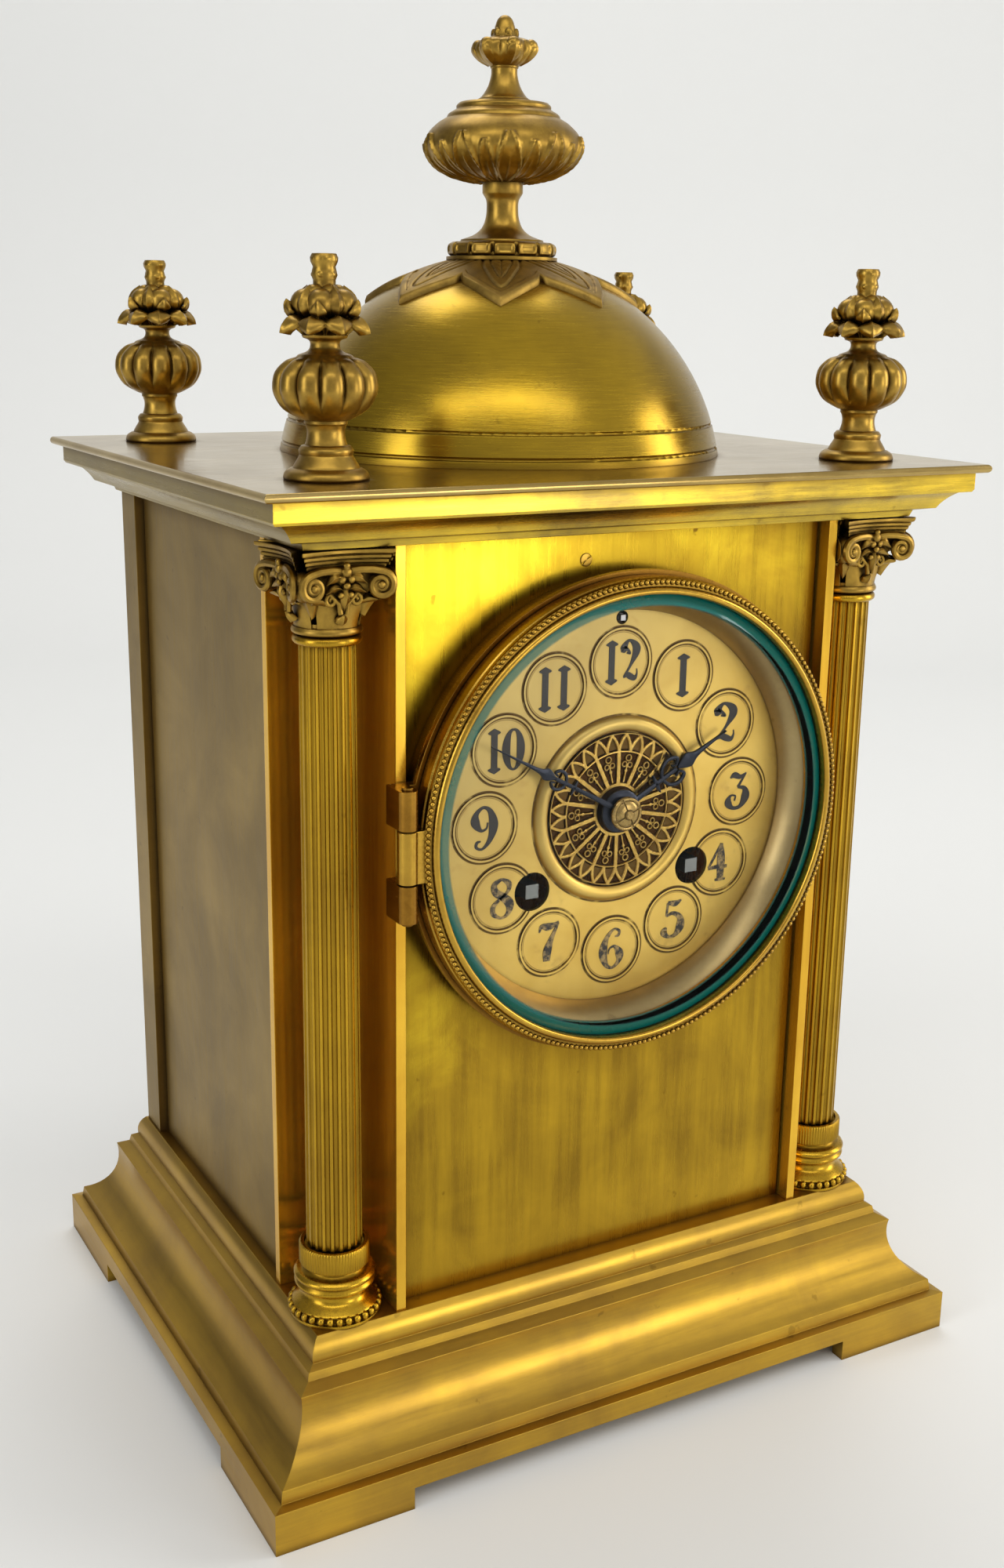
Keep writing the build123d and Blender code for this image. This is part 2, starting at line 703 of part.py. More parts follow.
# Leaf collar: eight pointed leaves cut from a shallow bowl that lies on the dome
with BuildPart() as leaf_collar:
    with BuildSketch(Plane.XY.offset(DOME_CENTRE)):
        belly = (COLLAR_TIP_R + COLLAR_NOTCH_R) / 2 + 1.6
        pointed_leaves(COLLAR_LEAVES, COLLAR_TIP_R, COLLAR_NOTCH_R, belly, COLLAR_TURN)
    extrude(amount=SEAT_Z - DOME_CENTRE)
    for radius, mode in ((DOME_R + COLLAR_T, Mode.INTERSECT), (DOME_R, Mode.SUBTRACT)):
        with Locations((0, 0, DOME_CENTRE)):
            Sphere(radius, mode=mode)
save(leaf_collar, "leaf_collar")

# Urn: foot and stem, bowl, and bud, held on the dome by one stud
with BuildPart() as urn_foot:
    turn_upright([
        (0, SEAT_Z),
        (URN_FOOT_R, SEAT_Z),
        (URN_FOOT_R, SEAT_Z + 1.1),
        (15.2, SEAT_Z + 1.2),
        (16.6, SEAT_Z + 3.2, 14.8, SEAT_Z + 5.2),
        (12.6, SEAT_Z + 5.5),
        (12.2, SEAT_Z + 6.4),
        (8.2, SEAT_Z + 7.1),
        (5.3, SEAT_Z + 10.6, 4.7, SEAT_Z + 15.0),
        (4.8, SEAT_Z + 18.2),
        (6.15, SEAT_Z + 19.8),
        (6.15, SEAT_Z + URN_FOOT_H),
        (0, SEAT_Z + URN_FOOT_H),
    ])
    scallop(URN_FOOT_R, URN_LOBES, 1.0, SEAT_Z + 1.2, SEAT_Z + 5.4)
save(urn_foot, "urn_foot")

BOWL_Z = SEAT_Z + URN_FOOT_H
with BuildPart() as bowl_leaves:
    turn_upright([
        (0, BOWL_Z),
        (6.9 + BOWL_LEAF_T, BOWL_Z),
        (16.9 + BOWL_LEAF_T, BOWL_Z + 2.0 - BOWL_LEAF_T),
        (21.6 + BOWL_LEAF_T, BOWL_Z + 5.0 - BOWL_LEAF_T, BOWL_R + 0.2, BOWL_Z + 9.0),
        (0, BOWL_Z + 9.0),
    ])
    with BuildSketch(Plane.XY.offset(BOWL_Z)):
        pointed_leaves(BOWL_LEAVES, BOWL_R + 0.2, BOWL_R - 7.0, BOWL_R - 1.6, COLLAR_TURN)
    extrude(amount=9.0, mode=Mode.INTERSECT)
with BuildPart() as urn_bowl:
    turn_upright([
        (0, BOWL_Z),
        (6.9, BOWL_Z),
        (16.9, BOWL_Z + 2.0),
        (21.6, BOWL_Z + 5.0, BOWL_R, BOWL_Z + 10.0),
        (23.6, BOWL_Z + 12.4),
        (21.6, BOWL_Z + 15.6, 17.5, BOWL_Z + 18.3),
        (14.5, BOWL_Z + 19.6),
        (14.5, BOWL_Z + 22.7),
        (8.2, BOWL_Z + BOWL_H),
        (0, BOWL_Z + BOWL_H),
    ])
    add(bowl_leaves.part)
save(urn_bowl, "urn_bowl")

BUD_Z = BOWL_Z + BOWL_H
with BuildPart() as urn_bud:
    turn_upright([
        (0, BUD_Z),
        (7.8, BUD_Z),
        (5.2, BUD_Z + 3.2, 3.95, BUD_Z + 8.0),
        (4.5, BUD_Z + 9.2),
        (8.2, BUD_Z + 12.0),
        (BUD_R, BUD_Z + 14.4, 7.2, BUD_Z + 16.4),
        (4.2, BUD_Z + 18.3),
        (3.1, BUD_Z + 19.5),
        (3.6, BUD_Z + 21.6, 1.4, BUD_Z + 23.3),
        (0, BUD_Z + 23.5),
    ])
    scallop(BUD_R + 1.6, BUD_PETALS, 3.0, BUD_Z + 12.4, BUD_Z + 16.9)
save(urn_bud, "urn_bud")

# Corner finials: foot and stem, a ribbed melon, a saucer of leaves with a cluster of fruit, and a six-sided knot
MELON_Z = DECK_Z + MELON_RISE
MELON_AXIS_R = MELON_R - MELON_CURVE
with BuildPart() as corner_finial:
    turn_upright([
        (0, DECK_Z),
        (11.2, DECK_Z),
        (11.2, DECK_Z + 1.0),
        (8.3, DECK_Z + 2.2),
        (6.5, DECK_Z + 4.0),
        (5.7, DECK_Z + 5.6),
        (5.5, DECK_Z + 9.6),
        (3.3, DECK_Z + 12.2),
        (3.9, DECK_Z + 14.2, 3.4, DECK_Z + 15.2),
        (MELON_AXIS_R, MELON_Z - MELON_CURVE),
        (MELON_R, MELON_Z, MELON_AXIS_R, MELON_Z + MELON_CURVE),
        (3.9, DECK_Z + 32.6),
        (3.9, DECK_Z + 34.4),
        (5.9, DECK_Z + 35.4),
        (5.9, DECK_Z + 36.0),
        (FINIAL_LEAF_R, DECK_Z + 40.0),
        (FINIAL_LEAF_R - 0.4, DECK_Z + 40.8),
        (FINIAL_LEAF_R - 4.0, DECK_Z + 42.0),
        (4.6, DECK_Z + 42.4),
        (4.6, DECK_Z + 48.8),
        (KNOT_R - 1.0, DECK_Z + 49.8),
        (0, DECK_Z + 49.8),
    ])
    scallop(MELON_R + 0.6, MELON_RIBS, MELON_GROOVE_R, MELON_Z - MELON_CURVE, MELON_Z + MELON_CURVE)
    scallop(FINIAL_LEAF_R + 1.2, FINIAL_LEAVES, 3.7, DECK_Z + 35.0, DECK_Z + 42.2)
    with Locations((0, 0, DECK_Z + FRUIT_RISE)):
        with PolarLocations(FRUIT_R + 0.3, FRUITS):
            Sphere(FRUIT_R)
    with BuildSketch(Plane.XY.offset(DECK_Z + 49.2)):
        RegularPolygon(KNOT_R - 1.0, 6)
    with BuildSketch(Plane.XY.offset(DECK_Z + FINIAL_H)):
        RegularPolygon(KNOT_R, 6)
    loft()
with BuildPart() as corner_finials:
    with Locations(*FINIAL_PLACES):
        add(corner_finial.part)
save(corner_finials, "corner_finials")

# Case ring: a stepped drum on the front panel that holds the dial, with two knuckles for the bezel
HINGE_X = -(BEZEL_R + 3.4)
HINGE_Y = BEZEL_BACK - 3.7


def knuckle(low, high):
    """One knuckle of the bezel hinge, bored for its pin later."""
    with BuildSketch(Plane.XY.offset(DIAL_Z + low)) as section:
        with Locations((HINGE_X, HINGE_Y)):
            Circle(KNUCKLE_R)
    extrude(section.sketch, amount=high - low)


def hinge_bore(radius):
    """The bore along the whole bezel hinge."""
    with BuildSketch(Plane.XY.offset(DIAL_Z + KNUCKLE_CUTS[0])) as section:
        with Locations((HINGE_X, HINGE_Y)):
            Circle(radius)
    extrude(section.sketch, amount=KNUCKLE_CUTS[-1] - KNUCKLE_CUTS[0], mode=Mode.SUBTRACT)


with BuildPart() as case_ring:
    turn_level([
        (CASE_RING_R, PANEL_FRONT),
        (CASE_RING_R, FRONT - NICHE_CLEARANCE),
        (CASE_RING_LIP_R - 0.6, FRONT - NICHE_CLEARANCE - 0.1),
        (CASE_RING_LIP_R - 0.6, FRONT - 1.3),
        (CASE_RING_LIP_R - 1.6, FRONT - 1.5),
        (CASE_RING_LIP_R - 1.6, FRONT - 2.1),
        (CASE_RING_LIP_R, FRONT - 2.3),
        (CASE_RING_LIP_R, RING_FRONT),
        (CASE_RING_BORE, RING_FRONT),
        (CASE_RING_BORE, DIAL_FRONT),
        (DIAL_R + DIAL_GAP, DIAL_FRONT),
        (DIAL_R + DIAL_GAP, PANEL_FRONT),
    ])
    for low, high in (KNUCKLE_CUTS[:2], KNUCKLE_CUTS[2:]):
        knuckle(low, high)
        leaf_left = HINGE_X - KNUCKLE_R
        box_between(
            (leaf_left, HINGE_Y, DIAL_Z + low), (HINGE_X + 2.5, RING_FRONT + 0.2, DIAL_Z + high)
        )
        box_between(
            (leaf_left, RING_FRONT, DIAL_Z + low),
            (-CASE_RING_BORE - 2.0, FRONT - NICHE_CLEARANCE - 0.1, DIAL_Z + high),
        )
    hinge_bore(BEZEL_PIN_R + RUNNING)
save(case_ring, "case_ring")

# Sight ring: the hollow moulding between the dial and the glass
with BuildPart() as sight_ring:
    turn_level([
        (CASE_RING_BORE - DIAL_GAP, DIAL_FRONT),
        (CASE_RING_BORE - DIAL_GAP, RING_FRONT),
        (CASE_RING_BORE - 1.2, RING_FRONT),
        (CASE_RING_BORE - 4.6, RING_FRONT + 4.4, SIGHT_RING_IN, DIAL_FRONT - 0.8),
        (SIGHT_RING_IN, DIAL_FRONT),
    ])
save(sight_ring, "sight_ring")

# Dial: a brass plate with raised rings round the numerals, holes for both keys and the regulator, and feet
FEET_R = 46.0
FOOT_R = 2.0
RIDGE_H = 0.35
with BuildPart() as dial_plate:
    cylinder_level(CENTRE_AT, DIAL_R, PANEL_FRONT, DIAL_FRONT)
    with BuildSketch(dial_plane(DIAL_FRONT)):
        with PolarLocations(NUMERAL_R, 12):
            Circle(CARTOUCHE_R)
            Circle(CARTOUCHE_R - CARTOUCHE_LINE, mode=Mode.SUBTRACT)
        with Locations(GOING_AT, STRIKE_AT):
            Circle(WINDING_HOLE_R, mode=Mode.SUBTRACT)
    extrude(amount=RIDGE_H)
    turn_level([
        (CENTRE_RING_IN, DIAL_FRONT),
        ((CENTRE_RING_IN + CENTRE_RING_OUT) / 2, DIAL_FRONT - CENTRE_RING_H, CENTRE_RING_OUT, DIAL_FRONT),
    ])
    with BuildSketch(dial_plane(PANEL_FRONT)):
        with PolarLocations(FEET_R, 4):
            Circle(FOOT_R)
    extrude(amount=PANEL_FRONT - PLATE_FRONT)
    with BuildSketch(dial_plane(PANEL_FRONT)):
        with Locations(GOING_AT, STRIKE_AT):
            Circle(WINDING_HOLE_R)
        with Locations(REGULATOR_AT):
            Circle(REGULATOR_HOLE_R)
        Circle(HOUR_BOSS_R - 2.0)
    extrude(amount=DIAL_T + 1.0, mode=Mode.SUBTRACT)
save(dial_plate, "dial_plate")

# Dial centre: the pierced rosette between the hands and the raised ring
with BuildPart() as dial_centre:
    with BuildSketch(dial_plane(DIAL_FRONT)):
        Circle(CENTRE_RING_IN - 0.2)
        Circle(HOUR_BOSS_R - 2.0, mode=Mode.SUBTRACT)
        with PolarLocations(CENTRE_RING_IN - 4.2, 24):
            Circle(1.2, mode=Mode.SUBTRACT)
        with PolarLocations(CENTRE_RING_IN - 9.0, 20):
            Circle(0.9, mode=Mode.SUBTRACT)
    extrude(amount=CENTRE_DISC_T)
save(dial_centre, "dial_centre")

# Bezel: the hinged ring with its rim bead, which holds the bevelled glass in a rebate
GLASS_BACK = BEZEL_BACK - GLASS_LIP
GLASS_R = BEZEL_R - 2.9
GLASS_EDGE = GLASS_BACK - 2.1
BEAD_OUT = BEZEL_R - 0.5
BEAD_IN = BEAD_OUT - 2 * BEAD_R
BEAD_Y = BEZEL_FRONT + BEAD_R
with BuildPart() as bezel:
    turn_level([
        (BEZEL_R, BEZEL_BACK),
        (BEZEL_R, BEAD_Y + 2.0),
        (BEAD_OUT, BEAD_Y + 1.5),
        (BEAD_OUT, BEAD_Y),
        (BEAD_OUT - BEAD_R, BEZEL_FRONT, BEAD_IN, BEAD_Y),
        (BEAD_IN, GLASS_EDGE - 0.1),
        (GLASS_R + 0.1, GLASS_EDGE - 0.1),
        (GLASS_R + 0.1, GLASS_BACK),
        (GLASS_R - GLASS_BEVEL, GLASS_BACK),
        (GLASS_R - GLASS_BEVEL, BEZEL_BACK),
    ])
    low, high = KNUCKLE_CUTS[1] + KNUCKLE_GAP, KNUCKLE_CUTS[2] - KNUCKLE_GAP
    knuckle(low, high)
    box_between((HINGE_X, HINGE_Y - 2.0, DIAL_Z + low), (-BEZEL_R + 1.5, HINGE_Y + 2.0, DIAL_Z + high))
    hinge_bore(BEZEL_PIN_R + RUNNING)
save(bezel, "bezel")

with BuildPart() as bezel_glass:
    turn_level([
        (0, GLASS_BACK),
        (GLASS_R, GLASS_BACK),
        (GLASS_R, GLASS_EDGE),
        (BEAD_IN - 0.1, GLASS_EDGE),
        (BEAD_IN - GLASS_BEVEL, GLASS_BACK - GLASS_T),
        (0, GLASS_BACK - GLASS_T),
    ])
save(bezel_glass, "bezel_glass")

# Rear door: a narrow brass frame with its own pins, a glass let in from inside and a turned knob
DOOR_LOW = BASE_H + DOOR_GAP
DOOR_HIGH = BODY_TOP - DOOR_GAP
DOOR_MIDDLE = (DOOR_LOW + DOOR_HIGH) / 2
DOOR_FACE = Plane(origin=(0, HALF_D, DOOR_MIDDLE), x_dir=(1, 0, 0), z_dir=(0, -1, 0))
KNOB_AT = (DOOR_HALF - DOOR_STILE / 2, 0.0)
with BuildPart() as rear_door_frame:
    height = DOOR_HIGH - DOOR_LOW
    with BuildSketch(DOOR_FACE):
        Rectangle(2 * DOOR_HALF, height)
        Rectangle(2 * (DOOR_HALF - DOOR_STILE), height - 2 * DOOR_STILE, mode=Mode.SUBTRACT)
    extrude(amount=DOOR_T)
    fillet(rear_door_frame.edges().filter_by(Axis.Z).group_by(Axis.X)[0], DOOR_T / 2 - 0.01)
    window_w = 2 * (DOOR_HALF - DOOR_STILE + DOOR_REBATE)
    window_h = height - 2 * (DOOR_STILE - DOOR_REBATE)
    with BuildSketch(DOOR_FACE.offset(DOOR_T - DOOR_GLASS_T)):
        Rectangle(window_w, window_h)
    extrude(amount=DOOR_GLASS_T, mode=Mode.SUBTRACT)
    with BuildSketch(DOOR_FACE):
        with Locations(KNOB_AT):
            Circle(KNOB_R / 2)
    extrude(amount=DOOR_T, mode=Mode.SUBTRACT)
    with BuildSketch(Plane.XY.offset(DOOR_LOW - DOOR_GAP - DOOR_PIN_L + SHAKE)):
        with Locations(DOOR_PIVOT):
            Circle(DOOR_PIN_R)
    extrude(amount=BODY_H + 2 * (DOOR_PIN_L - SHAKE))
save(rear_door_frame, "rear_door_frame")

with BuildPart() as rear_door_glass:
    with BuildSketch(DOOR_FACE.offset(DOOR_T - DOOR_GLASS_T)):
        Rectangle(window_w, window_h)
    extrude(amount=DOOR_GLASS_T)
save(rear_door_glass, "rear_door_glass")

with BuildPart() as rear_door_knob:
    with BuildSketch(Plane(origin=(KNOB_AT[0], 0, DOOR_MIDDLE), x_dir=(1, 0, 0), z_dir=(0, 0, 1))):
        outline([
            (0, HALF_D - DOOR_T),
            (KNOB_R / 2, HALF_D - DOOR_T),
            (KNOB_R / 2, HALF_D),
            (KNOB_R / 2 + 1.5, HALF_D),
            (KNOB_R / 2 + 1.5, HALF_D + 1.0),
            (KNOB_R / 2, HALF_D + 2.0),
            (KNOB_R / 2, HALF_D + 4.0),
            (KNOB_R, HALF_D + 7.0, KNOB_R / 2, HALF_D + 10.0),
            (0, HALF_D + 10.4),
        ])
    revolve(axis=Axis((KNOB_AT[0], 0, DOOR_MIDDLE), (0, 1, 0)))
save(rear_door_knob, "rear_door_knob")

# The bezel pin is fixed in the knuckles of the case ring
with BuildPart() as hinge_pin:
    with BuildSketch(Plane.XY.offset(DIAL_Z + KNUCKLE_CUTS[0])):
        with Locations((HINGE_X, HINGE_Y)):
            Circle(BEZEL_PIN_R)
    extrude(amount=KNUCKLE_CUTS[-1] - KNUCKLE_CUTS[0])
    for end in (KNUCKLE_CUTS[0] - 0.8, KNUCKLE_CUTS[-1]):
        with BuildSketch(Plane.XY.offset(DIAL_Z + end)):
            with Locations((HINGE_X, HINGE_Y)):
                Circle(BEZEL_PIN_R + 0.6)
        extrude(amount=0.8)
save(hinge_pin, "hinge_pin")

# Hands, stacked on the pipes of the motion work and held by a turned nut
CENTRE_FRONT_R = 1.4
CANNON_R = 2.2
HOUR_PIPE_R = 3.2
HOUR_BACK = DIAL_FRONT - CENTRE_RING_H - 0.4
HOUR_FRONT = HOUR_BACK - 1.2
MINUTE_BACK = HOUR_FRONT - 0.8
MINUTE_FRONT = MINUTE_BACK - 1.2
NUT_FRONT = MINUTE_FRONT - 1.8


def hand(length, boss, stem, ring_at, ring, cross_at, bore):
    """Blade, ring and cross of one hand, drawn pointing right."""
    Circle(boss)
    with BuildLine() as blade:
        Polyline(
            (0, stem),
            (ring_at + 2.4 * ring, stem * 0.5),
            (ring_at + 3.4 * ring, stem * 1.5),
            (length, 0),
            (ring_at + 3.4 * ring, -stem * 1.5),
            (ring_at + 2.4 * ring, -stem * 0.5),
            (0, -stem),
            close=True,
        )
    make_face(blade.edges())
    with Locations((cross_at, 0)):
        Rectangle(stem * 1.6, stem * 5.0)
    with Locations((ring_at, 0)):
        Circle(ring)
        Circle(ring * 0.6, mode=Mode.SUBTRACT)
    Circle(bore, mode=Mode.SUBTRACT)


def hand_plane(y, angle):
    """A plane on the front of the dial whose first axis points at an angle clockwise from twelve."""
    a = radians(angle)
    return Plane(origin=(0, y, DIAL_Z), x_dir=(sin(a), 0, cos(a)), z_dir=(0, -1, 0))


with BuildPart() as hour_hand:
    with BuildSketch(hand_plane(HOUR_BACK, HOUR_ANGLE)):
        hand(HOUR_HAND_R, HOUR_BOSS_R, 1.1, 22.0, 4.0, 14.0, HOUR_PIPE_R)
    extrude(amount=HAND_T)
    with BuildSketch(dial_plane(HOUR_BACK)):
        Circle(HOUR_BOSS_R - 1.5)
        Circle(HOUR_PIPE_R, mode=Mode.SUBTRACT)
    extrude(amount=HOUR_BACK - HOUR_FRONT)
save(hour_hand, "hour_hand")

with BuildPart() as minute_hand:
    with BuildSketch(hand_plane(MINUTE_BACK, MINUTE_ANGLE)):
        hand(MINUTE_HAND_R, HAND_NUT_R - 0.6, 0.9, 30.0, 2.6, 20.0, CANNON_R)
    extrude(amount=HAND_T)
    with BuildSketch(dial_plane(MINUTE_BACK)):
        Circle(HAND_NUT_R - 0.6)
        Circle(CANNON_R, mode=Mode.SUBTRACT)
    extrude(amount=MINUTE_BACK - MINUTE_FRONT)
save(minute_hand, "minute_hand")

with BuildPart() as hand_nut:
    turn_level([
        (CENTRE_FRONT_R, MINUTE_FRONT),
        (HAND_NUT_R, MINUTE_FRONT),
        (HAND_NUT_R, MINUTE_FRONT - 0.8),
        (HAND_NUT_R - 1.6, NUT_FRONT),
        (CENTRE_FRONT_R, NUT_FRONT),
    ])
save(hand_nut, "hand_nut")

# Movement plates, bored for every pivot and joined by four pillars
BETWEEN = [SECOND_AT, THIRD_AT, ESCAPE_AT, COUNT_AT, PIN_AT, LOCKING_AT, FLY_AT, HAMMER_AT]
REGULATOR_R = 1.2
CENTRE_R = 1.5


def plate_blank(back):
    """A plate's outline with the pivot holes that both plates share."""
    with BuildSketch(dial_plane(back)) as blank:
        with Locations((0, (PLATE_TOP + PLATE_BOTTOM) / 2)):
            RectangleRounded(2 * PLATE_HALF_W, PLATE_TOP - PLATE_BOTTOM, 4.0)
        with Locations(*BETWEEN):
            Circle(PIVOT_R + RUNNING, mode=Mode.SUBTRACT)
        with Locations(REGULATOR_AT):
            Circle(REGULATOR_R + RUNNING, mode=Mode.SUBTRACT)
        with Locations(*PILLARS):
            Circle(PILLAR_R / 2, mode=Mode.SUBTRACT)
    extrude(blank.sketch, amount=PLATE_T)


with BuildPart() as front_plate:
    plate_blank(GAP_FRONT)
    cylinder_level(CENTRE_AT, CENTRE_R + RUNNING, GAP_FRONT, PLATE_FRONT, Mode.SUBTRACT)
    cylinder_level(ANCHOR_AT, PIVOT_R + RUNNING, GAP_FRONT, PLATE_FRONT, Mode.SUBTRACT)
    for place in (GOING_AT, STRIKE_AT):
        cylinder_level(place, WINDING_ARBOR_R + RUNNING, GAP_FRONT, PLATE_FRONT, Mode.SUBTRACT)
    STUD_FRONT = PLATE_FRONT - 11.0
    cylinder_level(MINUTE_AT, CENTRE_FRONT_R - 0.2, PLATE_FRONT, STUD_FRONT)
save(front_plate, "front_plate")

with BuildPart() as back_plate:
    plate_blank(PLATE_BACK)
    cylinder_level(CENTRE_AT, PIVOT_R + RUNNING, PLATE_BACK, GAP_BACK, Mode.SUBTRACT)
    cylinder_level(ANCHOR_AT, 3 * ARBOR_R, PLATE_BACK, GAP_BACK, Mode.SUBTRACT)
    for place in (GOING_AT, STRIKE_AT):
        cylinder_level(place, WINDING_ARBOR_R / 2 + RUNNING, PLATE_BACK, GAP_BACK, Mode.SUBTRACT)
    cylinder_level(COUNT_AT, ARBOR_R + RUNNING, PLATE_BACK, GAP_BACK, Mode.SUBTRACT)
    cylinder_level(HAMMER_AT, ARBOR_R + RUNNING, PLATE_BACK, GAP_BACK, Mode.SUBTRACT)
save(back_plate, "back_plate")

with BuildPart() as plate_pillars:
    for place in PILLARS:
        cylinder_level(place, PILLAR_R, GAP_BACK, GAP_FRONT)
        cylinder_level(place, PILLAR_R / 2, PLATE_BACK, PLATE_FRONT)
        cylinder_level(place, PILLAR_R, PLATE_BACK + 2.0, PLATE_BACK)
save(plate_pillars, "plate_pillars")

with BuildPart() as movement_posts:
    for place in PILLARS:
        cylinder_level(place, POST_R, PLATE_FRONT, PANEL_BACK)
save(movement_posts, "movement_posts")


# Wheel work. A tooth is four corners: two at the root and two at the tip
WHEEL_TOOTH = dict(addendum=0.8, dedendum=1.05, root=0.27, tip=0.10)
PINION_TOOTH = dict(addendum=0.5, dedendum=1.25, root=0.20, tip=0.12)


def teeth_outline(teeth, module, phase, addendum, dedendum, root, tip):
    """The corners round a toothed wheel, starting with a tooth at the phase angle."""
    pitch_r = teeth * module / 2
    corners = []
    for tooth in range(teeth):
        middle = phase + tooth * 360 / teeth
        for reach, share in ((-dedendum, -root), (addendum, -tip), (addendum, tip), (-dedendum, root)):
            corners.append(polar((0, 0), pitch_r + reach * module, middle + share * 360 / teeth))
    return corners


def pinion(at, leaves, module, phase, back, front):
    """A solid pinion from back to front."""
    with BuildSketch(dial_plane(back)) as section:
        with Locations(at):
            Polygon(*teeth_outline(leaves, module, phase, **PINION_TOOTH), align=None)
    extrude(section.sketch, amount=back - front)


def wheel(at, teeth, module, phase, back, thick=WHEEL_T, hub=3.5, arms=4, shape=WHEEL_TOOTH):
    """A wheel with crossings: a rim, a hub and straight arms between them."""
    rim = teeth * module / 2 - 3.2 * module - 1.2
    arm = max(1.6, rim / 7)
    with BuildSketch(dial_plane(back)) as blank:
        with Locations(at):
            Polygon(*teeth_outline(teeth, module, phase, **shape), align=None)
    extrude(blank.sketch, amount=thick)
    if arms:
        with BuildSketch(dial_plane(back)) as crossing:
            with Locations(at):
                Circle(rim)
                Circle(hub, mode=Mode.SUBTRACT)
                with PolarLocations(0, arms):
                    Rectangle(rim, arm, align=(Align.MIN, Align.CENTER), mode=Mode.SUBTRACT)
        extrude(crossing.sketch, amount=thick, mode=Mode.SUBTRACT)


def arbor(at, radius=ARBOR_R, back=None, back_pivot=PIVOT_R):
    """An arbor between the plates, shouldered down to a pivot at each end."""
    back_end = PLATE_BACK if back is None else back
    turn_level([
        (0, back_end),
        (back_pivot, back_end),
        (back_pivot, GAP_BACK - SHAKE),
        (radius, GAP_BACK - SHAKE),
        (radius, GAP_FRONT + SHAKE),
        (PIVOT_R, GAP_FRONT + SHAKE),
        (PIVOT_R, PLATE_FRONT),
        (0, PLATE_FRONT),
    ], at)


# Depths of the wheels, from the back face of each
SECOND_Y = GAP_FRONT + SECOND_DEPTH + WHEEL_T
GREAT_Y = GAP_FRONT + BARREL_FRONT + BARREL_L + GREAT_T
CENTRE_Y = GAP_FRONT + CENTRE_DEPTH + WHEEL_T
THIRD_Y = GAP_FRONT + THIRD_DEPTH + WHEEL_T
ESCAPE_Y = GAP_FRONT + ESCAPE_DEPTH + WHEEL_T
PIN_Y = GAP_FRONT + PIN_DEPTH + WHEEL_T
LOCKING_Y = GAP_FRONT + LOCKING_DEPTH + WHEEL_T
OVERLAP = 1.5

# Centre arbor: its pinion is driven by the second wheel, and its wheel drives the third arbor
CENTRE_PHASE = 90.0
with BuildPart() as centre_wheel:
    turn_level([
        (0, PLATE_BACK),
        (PIVOT_R, PLATE_BACK),
        (PIVOT_R, GAP_BACK - SHAKE),
        (CENTRE_R, GAP_BACK - SHAKE),
        (CENTRE_R, PLATE_FRONT - SHAKE),
        (CENTRE_FRONT_R, PLATE_FRONT - SHAKE),
        (CENTRE_FRONT_R, NUT_FRONT - 0.4),
        (0, NUT_FRONT - 0.4),
    ])
    wheel(CENTRE_AT, CENTRE_TEETH, CENTRE_MODULE, CENTRE_PHASE, CENTRE_Y)
    pinion(CENTRE_AT, CENTRE_PINION, SECOND_MODULE, CENTRE_PHASE, SECOND_Y + OVERLAP, SECOND_Y - WHEEL_T - OVERLAP)
save(centre_wheel, "centre_wheel")

# Second arbor of the going train
with BuildPart() as going_second_wheel:
    to_second = bearing(CENTRE_AT, SECOND_AT)
    second_phase = mesh(CENTRE_PHASE, CENTRE_PINION, to_second, SECOND_TEETH)
    arbor(SECOND_AT)
    wheel(SECOND_AT, SECOND_TEETH, SECOND_MODULE, second_phase, SECOND_Y)
    pinion(SECOND_AT, BARREL_PINION, GREAT_MODULE, 0.0, GREAT_Y + OVERLAP, GREAT_Y - GREAT_T - OVERLAP)
save(going_second_wheel, "going_second_wheel")


def barrel(at, second_at):
    """A spring barrel: drum and cap with the great wheel on its back edge, bored for the winding arbor."""
    drum_front = GREAT_Y - GREAT_T - BARREL_L
    phase = mesh(0.0, BARREL_PINION, bearing(second_at, at), GREAT_TEETH)
    wheel(at, GREAT_TEETH, GREAT_MODULE, phase, GREAT_Y, GREAT_T, arms=0)
    turn_level([
        (0, GREAT_Y),
        (BARREL_R, GREAT_Y),
        (BARREL_R, drum_front),
        (0, drum_front),
    ], at)
    turn_level([
        (0, GREAT_Y - BARREL_WALL),
        (BARREL_R - BARREL_WALL, GREAT_Y - BARREL_WALL),
        (BARREL_R - BARREL_WALL, drum_front + BARREL_WALL),
        (0, drum_front + BARREL_WALL),
    ], at, Mode.SUBTRACT)
    cylinder_level(at, WINDING_ARBOR_R + RUNNING, GREAT_Y, drum_front, Mode.SUBTRACT)


with BuildPart() as going_barrel:
    barrel(GOING_AT, SECOND_AT)
save(going_barrel, "going_barrel")
with BuildPart() as strike_barrel:
    barrel(STRIKE_AT, COUNT_AT)
save(strike_barrel, "strike_barrel")


